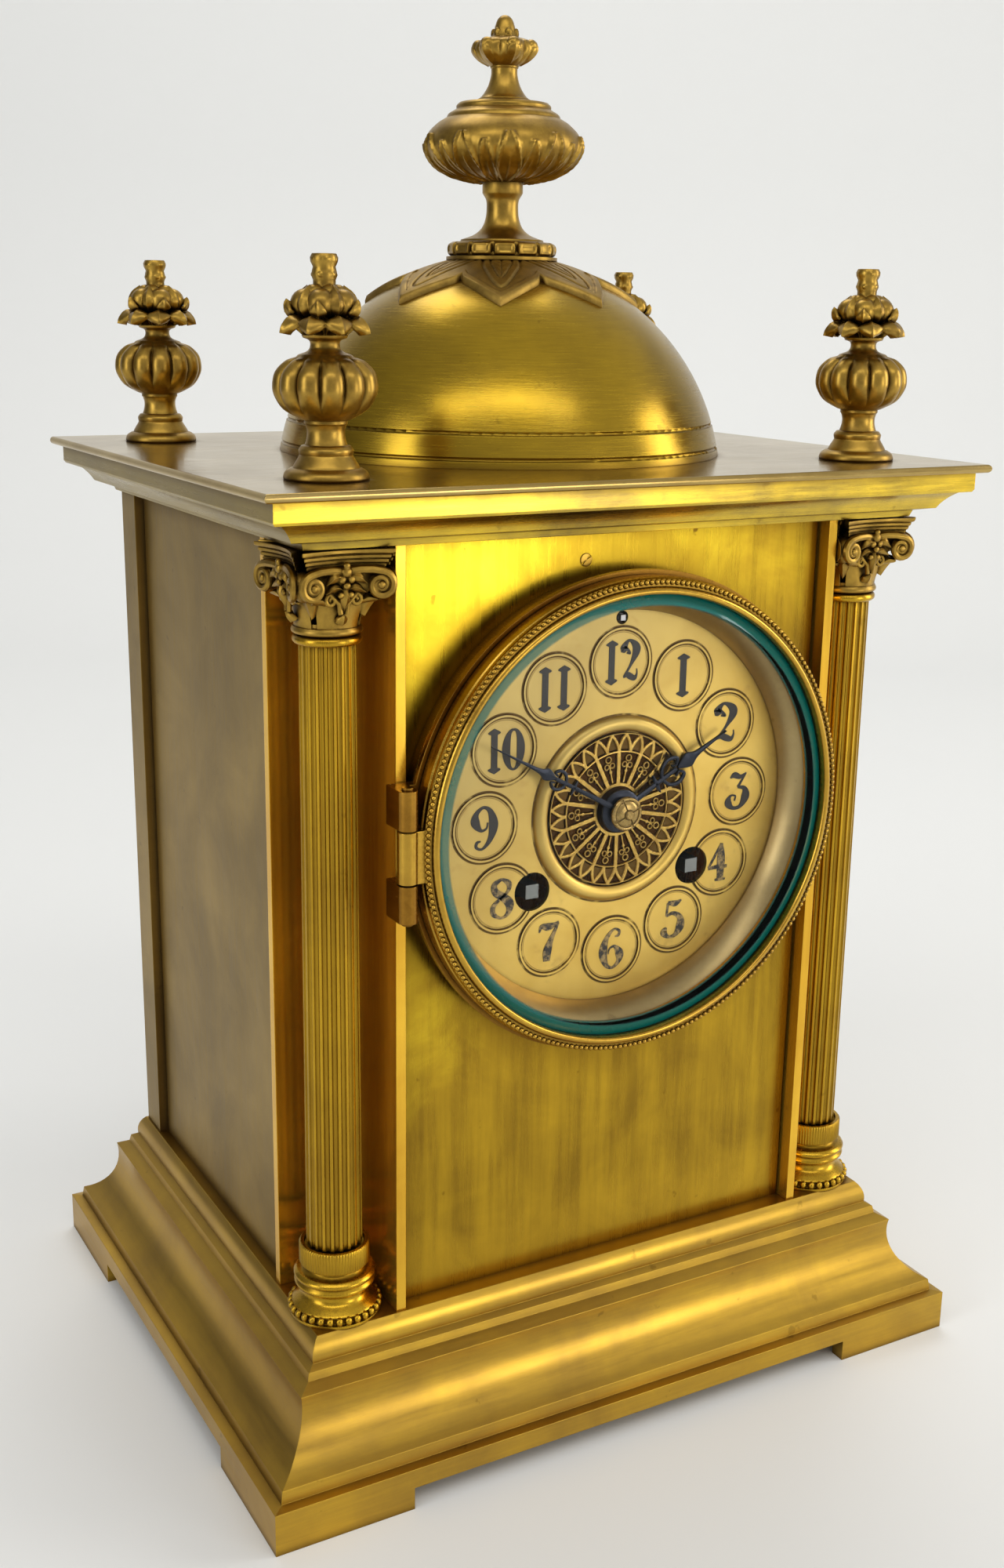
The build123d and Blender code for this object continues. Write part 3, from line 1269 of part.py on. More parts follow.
def winding_arbor(at, side):
    """An arbor with its squared end at the dial and its ratchet wheel on the front plate."""
    square_back = PLATE_FRONT - 4.0
    turn_level([
        (0, PLATE_BACK),
        (WINDING_ARBOR_R / 2, PLATE_BACK),
        (WINDING_ARBOR_R / 2, GAP_BACK - SHAKE),
        (WINDING_ARBOR_R, GAP_BACK - SHAKE),
        (WINDING_ARBOR_R, square_back),
        (0, square_back),
    ], at)
    with BuildSketch(dial_plane(square_back)) as square:
        with Locations(at):
            Rectangle(WINDING_SQUARE, WINDING_SQUARE)
    extrude(square.sketch, amount=square_back - DIAL_FRONT)
    with BuildSketch(dial_plane(PLATE_FRONT - SHAKE)) as ratchet:
        corners = []
        for tooth in range(RATCHET_TEETH):
            start = side * tooth * 360 / RATCHET_TEETH
            corners.append(polar((0, 0), RATCHET_R - 1.2, start))
            corners.append(polar((0, 0), RATCHET_R, start + side * 2.0))
        with Locations(at):
            Polygon(*corners, align=None)
    extrude(ratchet.sketch, amount=WHEEL_T)


with BuildPart() as going_winding_arbor:
    winding_arbor(GOING_AT, 1)
save(going_winding_arbor, "going_winding_arbor")
with BuildPart() as strike_winding_arbor:
    winding_arbor(STRIKE_AT, -1)
save(strike_winding_arbor, "strike_winding_arbor")

# Clicks: one pawl and its screw beside each ratchet wheel
with BuildPart() as winding_clicks:
    for side, place in ((1, GOING_AT), (-1, STRIKE_AT)):
        click_at = (place[0] + side * 11.5, place[1] + 6.0)
        with BuildSketch(dial_plane(PLATE_FRONT)) as click:
            with Locations(click_at):
                Circle(2.6)
            with BuildLine() as pawl:
                tip = (place[0] + side * (RATCHET_R + 0.5), place[1] - 1.0)
                Polyline(
                    (click_at[0] + side * 2.4, click_at[1] - 1.0),
                    (tip[0] + side * 1.6, tip[1] - 0.6),
                    tip,
                    (click_at[0] - side * 2.0, click_at[1] - 1.6),
                    close=True,
                )
            make_face(pawl.edges())
        extrude(click.sketch, amount=SHAKE + WHEEL_T)
        cylinder_level(click_at, 1.8, PLATE_FRONT, PLATE_FRONT - WHEEL_T - 1.4)
save(winding_clicks, "winding_clicks")

# Third arbor
with BuildPart() as third_wheel:
    third_phase = mesh(CENTRE_PHASE, CENTRE_TEETH, THIRD_BEARING, THIRD_PINION)
    arbor(THIRD_AT)
    wheel(THIRD_AT, THIRD_TEETH, THIRD_MODULE, 0.0, THIRD_Y)
    pinion(THIRD_AT, THIRD_PINION, CENTRE_MODULE, third_phase, CENTRE_Y + OVERLAP, CENTRE_Y - WHEEL_T - OVERLAP)
save(third_wheel, "third_wheel")

# Escape arbor: thirty leaning teeth on a light wheel
with BuildPart() as escape_wheel:
    escape_phase = mesh(0.0, THIRD_TEETH, bearing(THIRD_AT, ESCAPE_AT), ESCAPE_PINION)
    arbor(ESCAPE_AT)
    pinion(ESCAPE_AT, ESCAPE_PINION, THIRD_MODULE, escape_phase, THIRD_Y + OVERLAP, THIRD_Y - WHEEL_T - OVERLAP)
    with BuildSketch(dial_plane(ESCAPE_Y)):
        corners = []
        for tooth in range(ESCAPE_TEETH):
            start = tooth * 360 / ESCAPE_TEETH
            corners.append(polar((0, 0), ESCAPE_R - 2.2, start))
            corners.append(polar((0, 0), ESCAPE_R, start - 5.0))
            corners.append(polar((0, 0), ESCAPE_R, start - 4.0))
        with Locations(ESCAPE_AT):
            Polygon(*corners[::-1], align=None)
            Circle(ESCAPE_R - 3.6, mode=Mode.SUBTRACT)
            Circle(2.4)
            Rectangle(2 * ESCAPE_R - 6.0, 1.4)
            Rectangle(1.4, 2 * ESCAPE_R - 6.0)
    extrude(amount=WHEEL_T - 0.5)
save(escape_wheel, "escape_wheel")

# Anchor, its arbor and the crutch that reaches down to the pendulum behind the back plate
CRUTCH_Y = PLATE_BACK + 2.0
CRUTCH_L = 36.0
COCK_Y = PLATE_BACK + 6.0
COCK_T = 2.5
FORK_GAP = 0.2
with BuildPart() as anchor:
    turn_level([
        (0, COCK_Y + COCK_T),
        (PIVOT_R, COCK_Y + COCK_T),
        (PIVOT_R, COCK_Y - SHAKE),
        (ARBOR_R, COCK_Y - SHAKE),
        (ARBOR_R, GAP_FRONT + SHAKE),
        (PIVOT_R, GAP_FRONT + SHAKE),
        (PIVOT_R, PLATE_FRONT),
        (0, PLATE_FRONT),
    ], ANCHOR_AT)
    pallet_r = ESCAPE_R + PALLET_GAP
    drop = ANCHOR_AT[1] - ESCAPE_AT[1]
    with BuildSketch(Plane(origin=(0, ESCAPE_Y + 0.5, DIAL_Z + ANCHOR_AT[1]), x_dir=(1, 0, 0), z_dir=(0, -1, 0))):
        Circle(2.6)
        outline([
            (0, 2.0),
            (6.0, 0.6),
            (pallet_r * cos(radians(35)), pallet_r * sin(radians(35)) + 2.6 - drop),
            (pallet_r * cos(radians(42)), pallet_r * sin(radians(42)) - drop),
            (pallet_r * cos(radians(50)), pallet_r * sin(radians(50)) - drop),
            (5.4, -2.0),
            (0, -1.6),
        ])
        mirror(about=Plane.YZ)
    extrude(amount=WHEEL_T + 0.5)
    box_between(
        (-1.2, CRUTCH_Y, DIAL_Z + ANCHOR_AT[1] - CRUTCH_L), (1.2, CRUTCH_Y + 1.4, DIAL_Z + ANCHOR_AT[1] + 1.5)
    )
    fork_z = DIAL_Z + ANCHOR_AT[1] - CRUTCH_L
    box_between((-4.0, CRUTCH_Y, fork_z), (4.0, CRUTCH_Y + 1.4, fork_z + 2.4))
    for side in (-1, 1):
        pin_x = side * (ROD_R + FORK_GAP + ARBOR_R)
        with BuildSketch(Plane(origin=(pin_x, CRUTCH_Y, fork_z + 1.2), x_dir=(1, 0, 0), z_dir=(0, 1, 0))):
            Circle(ARBOR_R)
        extrude(amount=PENDULUM_Y + ROD_R + 1.5 - CRUTCH_Y)
save(anchor, "anchor")

# Back cock: carries the anchor's back pivot and the slotted stud of the suspension spring
COCK_HALF = 15.0
SLOT = 0.8
SPRING_T = 0.2
with BuildPart() as back_cock:
    with BuildSketch(Plane(origin=(0, COCK_Y + COCK_T, DIAL_Z + ANCHOR_AT[1]), x_dir=(1, 0, 0), z_dir=(0, -1, 0))):
        Rectangle(2 * COCK_HALF, 9.0)
        Circle(PIVOT_R + RUNNING, mode=Mode.SUBTRACT)
    extrude(amount=COCK_T)
    for side in (-1, 1):
        x = side * (COCK_HALF - 3.0)
        box_between(
            (x - 3.0, PLATE_BACK, DIAL_Z + ANCHOR_AT[1] - 4.5), (x + 3.0, COCK_Y, DIAL_Z + ANCHOR_AT[1] + 4.5)
        )
    for side in (-1, 1):
        inner, outer = sorted((side * SLOT / 2, side * 3.5))
        box_between(
            (inner, COCK_Y + COCK_T, DIAL_Z + ANCHOR_AT[1] + 1.0),
            (outer, PENDULUM_Y + 3.0, DIAL_Z + ANCHOR_AT[1] + 4.5),
        )
save(back_cock, "back_cock")

# Pendulum: suspension spring, rod with its rating nut, and a lens-shaped bob
PIVOT_Z = DIAL_Z + ANCHOR_AT[1]
BOB_Z = PIVOT_Z - PENDULUM_L
NUT_R = 3.2
with BuildPart() as pendulum_rod:
    box_between((-SPRING_T / 2, PENDULUM_Y - 2.0, PIVOT_Z - 8.0), (SPRING_T / 2, PENDULUM_Y + 2.0, PIVOT_Z + 4.0))
    box_between((-1.2, PENDULUM_Y - 2.6, PIVOT_Z - 11.0), (1.2, PENDULUM_Y + 2.6, PIVOT_Z - 5.0))
    turn_upright([
        (0, BOB_Z - BOB_R - 6.0),
        (ROD_R, BOB_Z - BOB_R - 6.0),
        (ROD_R, BOB_Z - BOB_R - 3.0),
        (NUT_R, BOB_Z - BOB_R - 3.0),
        (NUT_R, BOB_Z - BOB_R + 0.6),
        (ROD_R, BOB_Z - BOB_R + 0.6),
        (ROD_R, PIVOT_Z - 10.0),
        (0, PIVOT_Z - 10.0),
    ], 0, PENDULUM_Y)
save(pendulum_rod, "pendulum_rod")

with BuildPart() as pendulum_bob:
    crown = BOB_T / 2 - BOB_EDGE
    sphere_r = (BOB_R**2 + crown**2) / (2 * crown)
    half_way = BOB_T / 2 - sphere_r + sqrt(sphere_r**2 - (BOB_R / 2) ** 2)
    turn_level([
        (0, PENDULUM_Y - BOB_T / 2),
        (BOB_R / 2, PENDULUM_Y - half_way, BOB_R, PENDULUM_Y - BOB_EDGE),
        (BOB_R, PENDULUM_Y + BOB_EDGE),
        (BOB_R / 2, PENDULUM_Y + half_way, 0, PENDULUM_Y + BOB_T / 2),
    ], (0, BOB_Z - DIAL_Z))
    with BuildSketch(Plane.XY.offset(BOB_Z - BOB_R - 1.0)):
        with Locations((0, PENDULUM_Y)):
            Circle(ROD_R)
    extrude(amount=2 * BOB_R + 2.0, mode=Mode.SUBTRACT)
    box_between(
        (-NUT_R - 0.2, -BOB_T, BOB_Z - BOB_R - 1.0), (NUT_R + 0.2, BOB_T, BOB_Z - BOB_R + 0.6), Mode.SUBTRACT
    )
save(pendulum_bob, "pendulum_bob")

# Motion work: the cannon pinion turns the minute wheel, whose pinion turns the hour wheel once in twelve
CANNON_BACK = PLATE_FRONT - 1.0
CANNON_FACE = CANNON_BACK - 4.0
MINUTE_Y = CANNON_BACK - 1.2
HOUR_Y = PLATE_FRONT - 7.2
with BuildPart() as cannon_pinion:
    pinion(CENTRE_AT, CANNON_TEETH, MINUTE_MODULE, 90.0, CANNON_BACK, CANNON_FACE)
    cylinder_level(CENTRE_AT, CANNON_R, CANNON_BACK, MINUTE_FRONT)
    cylinder_level(CENTRE_AT, CENTRE_FRONT_R, CANNON_BACK, MINUTE_FRONT, Mode.SUBTRACT)
save(cannon_pinion, "cannon_pinion")

with BuildPart() as minute_wheel:
    minute_phase = mesh(90.0, CANNON_TEETH, MINUTE_BEARING, MINUTE_TEETH)
    wheel(MINUTE_AT, MINUTE_TEETH, MINUTE_MODULE, minute_phase, MINUTE_Y, hub=3.0, arms=4)
    pinion(MINUTE_AT, MINUTE_PINION, HOUR_MODULE, minute_phase, MINUTE_Y, PLATE_FRONT - 10.4)
    cylinder_level(MINUTE_AT, CENTRE_FRONT_R - 0.2 + RUNNING, PLATE_FRONT, STUD_FRONT, Mode.SUBTRACT)
save(minute_wheel, "minute_wheel")

with BuildPart() as hour_wheel:
    back_to_centre = bearing(MINUTE_AT, CENTRE_AT)
    hour_phase = mesh(minute_phase, MINUTE_PINION, back_to_centre, HOUR_TEETH)
    wheel(CENTRE_AT, HOUR_TEETH, HOUR_MODULE, hour_phase, HOUR_Y, hub=4.6, arms=4)
    cylinder_level(CENTRE_AT, HOUR_PIPE_R, HOUR_Y, HOUR_FRONT)
    cylinder_level(CENTRE_AT, CANNON_R + 2 * RUNNING, HOUR_Y, HOUR_FRONT, Mode.SUBTRACT)
save(hour_wheel, "hour_wheel")

# Striking train
with BuildPart() as count_arbor_wheel:
    arbor(COUNT_AT, ARBOR_R + 0.2, PLATE_BACK + 3.2, ARBOR_R)
    wheel(COUNT_AT, COUNT_TEETH, COUNT_MODULE, 0.0, SECOND_Y)
    pinion(COUNT_AT, BARREL_PINION, GREAT_MODULE, 0.0, GREAT_Y + OVERLAP, GREAT_Y - GREAT_T - OVERLAP)
save(count_arbor_wheel, "count_arbor_wheel")

# Count wheel: a notch for each hour, one to twelve blows apart
with BuildPart() as count_wheel:
    with BuildSketch(dial_plane(PLATE_BACK + 3.0)):
        with Locations(COUNT_AT):
            Circle(COUNT_WHEEL_R)
            Circle(ARBOR_R, mode=Mode.SUBTRACT)
        blows = 0
        for hour in range(1, 13):
            blows += hour + 1
            angle = 90 - 360 * blows / 90
            with Locations(polar(COUNT_AT, COUNT_WHEEL_R, angle)):
                Rectangle(4.0, 1.0, rotation=angle, mode=Mode.SUBTRACT)
    extrude(amount=WHEEL_T)
save(count_wheel, "count_wheel")

PIN_CIRCLE = PIN_TEETH * PIN_MODULE / 2 - 2.5
PIN_R = 0.7
PIN_L = 3.5
with BuildPart() as pin_wheel:
    pin_phase = mesh(0.0, COUNT_TEETH, PIN_BEARING, PIN_PINION)
    arbor(PIN_AT)
    wheel(PIN_AT, PIN_TEETH, PIN_MODULE, 0.0, PIN_Y)
    pinion(PIN_AT, PIN_PINION, COUNT_MODULE, pin_phase, SECOND_Y + OVERLAP, SECOND_Y - WHEEL_T - OVERLAP)
    for pin in range(STRIKING_PINS):
        place = polar(PIN_AT, PIN_CIRCLE, pin * 360 / STRIKING_PINS)
        cylinder_level(place, PIN_R, PIN_Y + PIN_L, PIN_Y - WHEEL_T)
save(pin_wheel, "pin_wheel")

with BuildPart() as locking_wheel:
    locking_phase = mesh(0.0, PIN_TEETH, LOCKING_BEARING, LOCKING_PINION)
    arbor(LOCKING_AT)
    wheel(LOCKING_AT, LOCKING_TEETH, LOCKING_MODULE, 0.0, LOCKING_Y)
    pinion(LOCKING_AT, LOCKING_PINION, PIN_MODULE, locking_phase, PIN_Y + OVERLAP, PIN_Y - WHEEL_T - OVERLAP)
save(locking_wheel, "locking_wheel")

with BuildPart() as fly:
    fly_phase = mesh(0.0, LOCKING_TEETH, FLY_BEARING, FLY_PINION)
    arbor(FLY_AT)
    pinion(FLY_AT, FLY_PINION, LOCKING_MODULE, fly_phase, LOCKING_Y + OVERLAP, LOCKING_Y - WHEEL_T - OVERLAP)
    fly_y = GAP_FRONT + FLY_DEPTH
    with BuildSketch(dial_plane(fly_y + FLY_L)):
        with Locations(FLY_AT):
            Rectangle(2 * FLY_R, 0.6)
            Circle(1.6)
    extrude(amount=FLY_L)
save(fly, "fly")

# Hammer: a tail beside the striking pins, an arm behind the back plate and a head at the rim of the bell
HEAD_GAP = 0.8
HEAD_R = 3.2
HEAD_L = 8.0
HEAD_Y = BELL_Y + 2.5
HEAD_X = BELL_AT[0] - BELL_R - HEAD_GAP
ARM_Y = PLATE_BACK + 6.0
with BuildPart() as hammer:
    arbor(HAMMER_AT, ARBOR_R + 0.2, ARM_Y + 2.0, ARBOR_R)
    tail_end = polar(HAMMER_AT, hypot(16.6, 5.4) - PIN_CIRCLE - PIN_R - 0.6, bearing(HAMMER_AT, PIN_AT))
    tail_y = PIN_Y + PIN_L
    with BuildSketch(dial_plane(tail_y)):
        with Locations(HAMMER_AT):
            Circle(2.0)
        with BuildLine():
            Line(HAMMER_AT, tail_end)
        trace(line_width=1.4)
    extrude(amount=PIN_L - 0.8)
    arm_end = (HEAD_X - HEAD_L / 2, BELL_AT[1])
    with BuildSketch(dial_plane(ARM_Y + 2.0)):
        with Locations(HAMMER_AT, arm_end):
            Circle(2.4)
        with BuildLine():
            Line(HAMMER_AT, arm_end)
        trace(line_width=2.2)
    extrude(amount=2.0)
    cylinder_level(arm_end, 1.2, HEAD_Y, ARM_Y)
    with BuildSketch(Plane(origin=(HEAD_X, HEAD_Y, DIAL_Z + BELL_AT[1]), x_dir=(0, 1, 0), z_dir=(-1, 0, 0))):
        Circle(HEAD_R)
    extrude(amount=HEAD_L)
save(hammer, "hammer")

# Bell and the stand that carries it behind the pendulum
STAND_AT = (38.0, -34.0)
STAND_R = 3.0
STAND_ARM_Y = 12.0
CROWN_Y = BELL_Y + BELL_DEPTH
with BuildPart() as bell:
    turn_level([
        (STAND_R - 1.0, CROWN_Y),
        (8.0, CROWN_Y),
        (BELL_R * 0.80, BELL_Y + BELL_DEPTH * 0.66, BELL_R, BELL_Y),
        (BELL_R - BELL_WALL, BELL_Y),
        (BELL_R * 0.80 - BELL_WALL, BELL_Y + BELL_DEPTH * 0.66 - BELL_WALL * 0.7, 8.0, CROWN_Y - BELL_WALL),
        (STAND_R - 1.0, CROWN_Y - BELL_WALL),
    ], BELL_AT)
save(bell, "bell")

with BuildPart() as bell_stand:
    cylinder_level(STAND_AT, STAND_R, STAND_ARM_Y, PLATE_BACK)
    with BuildSketch(dial_plane(STAND_ARM_Y)):
        with Locations(STAND_AT, BELL_AT):
            Circle(4.0)
        with BuildLine():
            Line(STAND_AT, BELL_AT)
        trace(line_width=5.0)
    extrude(amount=2.5)
    cylinder_level(BELL_AT, STAND_R, CROWN_Y - BELL_WALL, STAND_ARM_Y - 2.5)
    cylinder_level(BELL_AT, STAND_R - 1.0, CROWN_Y + 4.0, STAND_ARM_Y)
    cylinder_level(BELL_AT, STAND_R + 1.0, CROWN_Y + 3.0, CROWN_Y)
save(bell_stand, "bell_stand")

# Regulator arbor: its square shows at the top of the dial, its pinion is behind the back plate
with BuildPart() as regulator_arbor:
    cylinder_level(REGULATOR_AT, REGULATOR_R, PLATE_BACK + 4.0, DIAL_FRONT + 0.6)
    with BuildSketch(dial_plane(DIAL_FRONT + 0.6)):
        with Locations(REGULATOR_AT):
            Rectangle(1.7, 1.7)
    extrude(amount=1.2)
    cylinder_level(REGULATOR_AT, REGULATOR_R + 0.8, GAP_BACK - SHAKE, GAP_BACK - SHAKE - 1.0)
    pinion(REGULATOR_AT, 10, 0.5, 0.0, PLATE_BACK + 3.8, PLATE_BACK + 1.0)
save(regulator_arbor, "regulator_arbor")
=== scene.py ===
import math

import bmesh
import bpy
import numpy as np
from mathutils import Matrix, Vector


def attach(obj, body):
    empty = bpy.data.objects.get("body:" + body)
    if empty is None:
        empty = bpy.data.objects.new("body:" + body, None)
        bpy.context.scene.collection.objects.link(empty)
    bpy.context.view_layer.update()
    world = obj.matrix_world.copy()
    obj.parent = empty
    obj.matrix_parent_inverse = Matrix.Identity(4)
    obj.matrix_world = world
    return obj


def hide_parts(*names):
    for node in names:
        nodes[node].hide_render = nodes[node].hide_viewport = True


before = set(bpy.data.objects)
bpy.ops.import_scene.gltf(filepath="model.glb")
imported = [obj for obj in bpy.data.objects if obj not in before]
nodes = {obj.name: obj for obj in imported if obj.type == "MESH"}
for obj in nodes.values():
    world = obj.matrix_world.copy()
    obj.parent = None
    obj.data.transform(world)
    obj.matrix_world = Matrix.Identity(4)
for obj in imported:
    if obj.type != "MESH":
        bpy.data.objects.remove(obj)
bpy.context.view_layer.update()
scene = bpy.context.scene
scene.view_settings.view_transform = "Standard"


# Studio: a roll of pale paper lies under the clock and bends up behind it, between two soft windows, with a
# card and a strip lamp in front, a lamp above and a pale room around. None of it is part of the clock.
class Shade:
    """One value, colour or place in a node tree. Sums on values add Math nodes."""

    def __init__(self, tree, socket=None):
        self.tree, self.socket = tree, socket

    def node(self, kind, settings, inputs, out=0):
        """Add a node, with its settings first and then the values or links of its sockets."""
        made = self.tree.nodes.new("ShaderNode" + kind)
        for name, value in settings.items():
            setattr(made, name, value)
        for name, value in inputs.items():
            if isinstance(value, Shade):
                self.tree.links.new(value.socket, made.inputs[name])
            else:
                made.inputs[name].default_value = value
        return Shade(self.tree, made.outputs[out] if made.outputs else None)

    def maths(self, operation, *terms):
        return self.node("Math", {"operation": operation}, dict(enumerate(terms)))

    def __add__(self, other):
        return self.maths("ADD", self, other)

    def __sub__(self, other):
        return self.maths("SUBTRACT", self, other)

    def __rsub__(self, other):
        return self.maths("SUBTRACT", other, self)

    def __mul__(self, other):
        return self.maths("MULTIPLY", self, other)

    __radd__, __rmul__ = __add__, __mul__

    def __abs__(self):
        return self.maths("ABSOLUTE", self)

    def smaller(self, other):
        return self.maths("MINIMUM", self, other)

    def larger(self, other):
        return self.maths("MAXIMUM", self, other)

    def scaled(self, factors):
        return self.node("VectorMath", {"operation": "MULTIPLY"}, {0: self, 1: factors})

    def dot(self, other):
        return self.node("VectorMath", {"operation": "DOT_PRODUCT"}, {0: self, 1: other}, "Value")

    def along(self, axis):
        return self.node("SeparateXYZ", {}, {0: self}, axis)

    def ramp(self, low, high, start=0.0, end=1.0):
        """This value's place between low and high, spread from start to end and kept inside them."""
        return self.node("MapRange", {}, {0: self, 1: low, 2: high, 3: start, 4: end})

    def blend(self, first, second):
        """The first colour where this value is 0 and the second where it is 1."""
        first, second = ((*colour, 1) if isinstance(colour, tuple) else colour for colour in (first, second))
        return self.node("Mix", {"data_type": "RGBA"}, {0: self, 6: first, 7: second}, 2)

    def cloud(self, size, stretch=(1, 1, 1), detail=5, roughness=0.7, twist=0.0):
        """Noise over this place, in patches of about a size in millimetres, stretched along an axis."""
        return self.node("TexNoise", {}, {"Vector": self.scaled(stretch), "Scale": 1000 / size, "Detail": detail,
                                          "Roughness": roughness, "Distortion": twist})


def begin(holder):
    """The start of an empty node tree for a material or the room."""
    holder.use_nodes = True
    holder.node_tree.nodes.clear()
    return Shade(holder.node_tree)


def finish(name):
    """A new material and the start of its node tree."""
    made = bpy.data.materials.new(name)
    return made, begin(made)


def close(start, colour, roughness, metallic=1.0, **others):
    """Join the parts of a material at its Principled shader."""
    inputs = {"Base Color": colour, "Roughness": roughness, "Metallic": metallic}
    inputs |= {name.replace("_", " "): value for name, value in others.items()}
    start.node("OutputMaterial", {}, {"Surface": start.node("BsdfPrincipled", {}, inputs)})


PAPER_HALF = 2.6
PAPER_FRONT = 1.5
PAPER_BACK = 1.6
PAPER_RISE = 1.8
PAPER_BEND = 0.5
BEND_STEPS = 16
VIEW = Vector((0.4705, 0.8411, -0.2670))
AWAY = Vector((VIEW.x, VIEW.y, 0)).normalized()
ASIDE = Vector((AWAY.y, -AWAY.x, 0))
paper_line = [(-PAPER_FRONT, 0.0), (PAPER_BACK - PAPER_BEND, 0.0)]
for step in range(1, BEND_STEPS + 1):
    bend = math.pi / 2 * step / BEND_STEPS
    paper_line.append((PAPER_BACK - PAPER_BEND + PAPER_BEND * math.sin(bend), PAPER_BEND * (1 - math.cos(bend))))
paper_line.append((PAPER_BACK, PAPER_RISE))
paper_points = [
    AWAY * along + ASIDE * side * PAPER_HALF + Vector((0, 0, rise))
    for along, rise in paper_line
    for side in (-1, 1)
]
paper_mesh = bpy.data.meshes.new("paper")
paper_mesh.from_pydata(paper_points, [], [(i, i + 1, i + 3, i + 2) for i in range(0, len(paper_points) - 2, 2)])
paper_mesh.shade_smooth()
paper = bpy.data.objects.new("paper", paper_mesh)
scene.collection.objects.link(paper)
paper_skin, start = finish("pale_paper")
close(start, (0.82, 0.83, 0.825, 1), 0.6, 0.0)
paper_mesh.materials.append(paper_skin)


def soft_lamp(name, place, target, size, power, colour):
    """A soft box of a width and height in metres, aimed at a point."""
    lamp = bpy.data.lights.new(name, "AREA")
    lamp.shape = "RECTANGLE"
    (lamp.size, lamp.size_y), lamp.energy, lamp.color = size, power, colour
    stand = bpy.data.objects.new(name, lamp)
    stand.location = place
    stand.rotation_euler = (Vector(target) - Vector(place)).to_track_quat("-Z", "Y").to_euler()
    scene.collection.objects.link(stand)


soft_lamp("right_window", (1.45, -0.65, 0.55), (0, 0, 0.2), (0.5, 1.0), 9, (1.0, 0.97, 0.92))
soft_lamp("left_window", (-1.45, -0.30, 0.55), (0, 0, 0.2), (0.5, 1.0), 6, (0.97, 0.98, 1.0))
soft_lamp("front_card", (0.62, -1.35, 0.30), (0, 0, 0.2), (0.4, 0.5), 3.2, (1.0, 0.97, 0.92))
soft_lamp("front_strip", (-0.55, -1.15, 1.70), (0, 0, 0.25), (2.4, 0.3), 9, (1.0, 0.99, 0.96))
soft_lamp("top_lamp", (0.3, 0.9, 1.9), (0, 0, 0.1), (1.2, 0.8), 10, (1.0, 0.99, 0.97))

BACKDROP = 0.85
BRIGHT_SIDE = Vector((0.5, -0.55, 0.55)).normalized()
DIM_LIGHT, BRIGHT_LIGHT = 0.14, 0.72
room = bpy.data.worlds.new("room")
scene.world = room
start = begin(room)
light = start.node("TexCoord", {}, {}, "Generated").dot(BRIGHT_SIDE).ramp(-0.7, 1.0, DIM_LIGHT, BRIGHT_LIGHT)
seen = start.node("LightPath", {}, {}, "Is Camera Ray")
strength = start.node("Mix", {}, {"Factor": seen, "A": light, "B": BACKDROP}, "Result")
glow = start.node("Background", {}, {"Color": (1.0, 0.985, 0.96, 1), "Strength": strength})
start.node("OutputWorld", {}, {"Surface": glow})


# Camera: it stands at the left of the clock and a little above it, as in the photograph, and looks slightly
# down at it. Its lens is a normal one for a full frame, and it is held with a trace of roll.
CAMERA_AT = (-0.2693, -0.4867, 0.3372)
CAMERA_LENS = 39.9
CAMERA_SENSOR = 36.0
CAMERA_NEAR = 0.02
forward = VIEW.normalized()
above = Vector((0.8747, -0.4846, 0.01485)).normalized().cross(forward).normalized()
right = forward.cross(above)
camera = bpy.data.objects.new("camera", bpy.data.cameras.new("camera"))
camera.data.lens = CAMERA_LENS
camera.data.sensor_width = CAMERA_SENSOR
camera.data.clip_start = CAMERA_NEAR
camera.matrix_world = Matrix.Translation(CAMERA_AT) @ Matrix((right, above, -forward)).transposed().to_4x4()
scene.collection.objects.link(camera)
scene.camera = camera


# Base: a heavy moulding of cast brass on four bracket feet, mitred at the corners, filed smooth along its
# length and lacquered, with a board let in below. The lacquer has browned in the quirks, which painted shade
# darkens further, and the front is painted lighter than the sides as painted light.
GRAIN, BRUSH, SPOT = 3.5, 1.2, 6.0
LINE_SHARE, GRAIN_SHARE = 0.6, 0.4
SCRATCH_DEPTH = 0.00012


def in_corners(start, reach, deep=0.45, clear=0.95, samples=6):
    """A mask that is 1 in corners narrower than a reach in millimetres and 0 on open faces."""
    return start.node("AmbientOcclusion", {"samples": samples}, {"Distance": reach / 1000}, "AO").ramp(
        deep, clear, 1, 0)


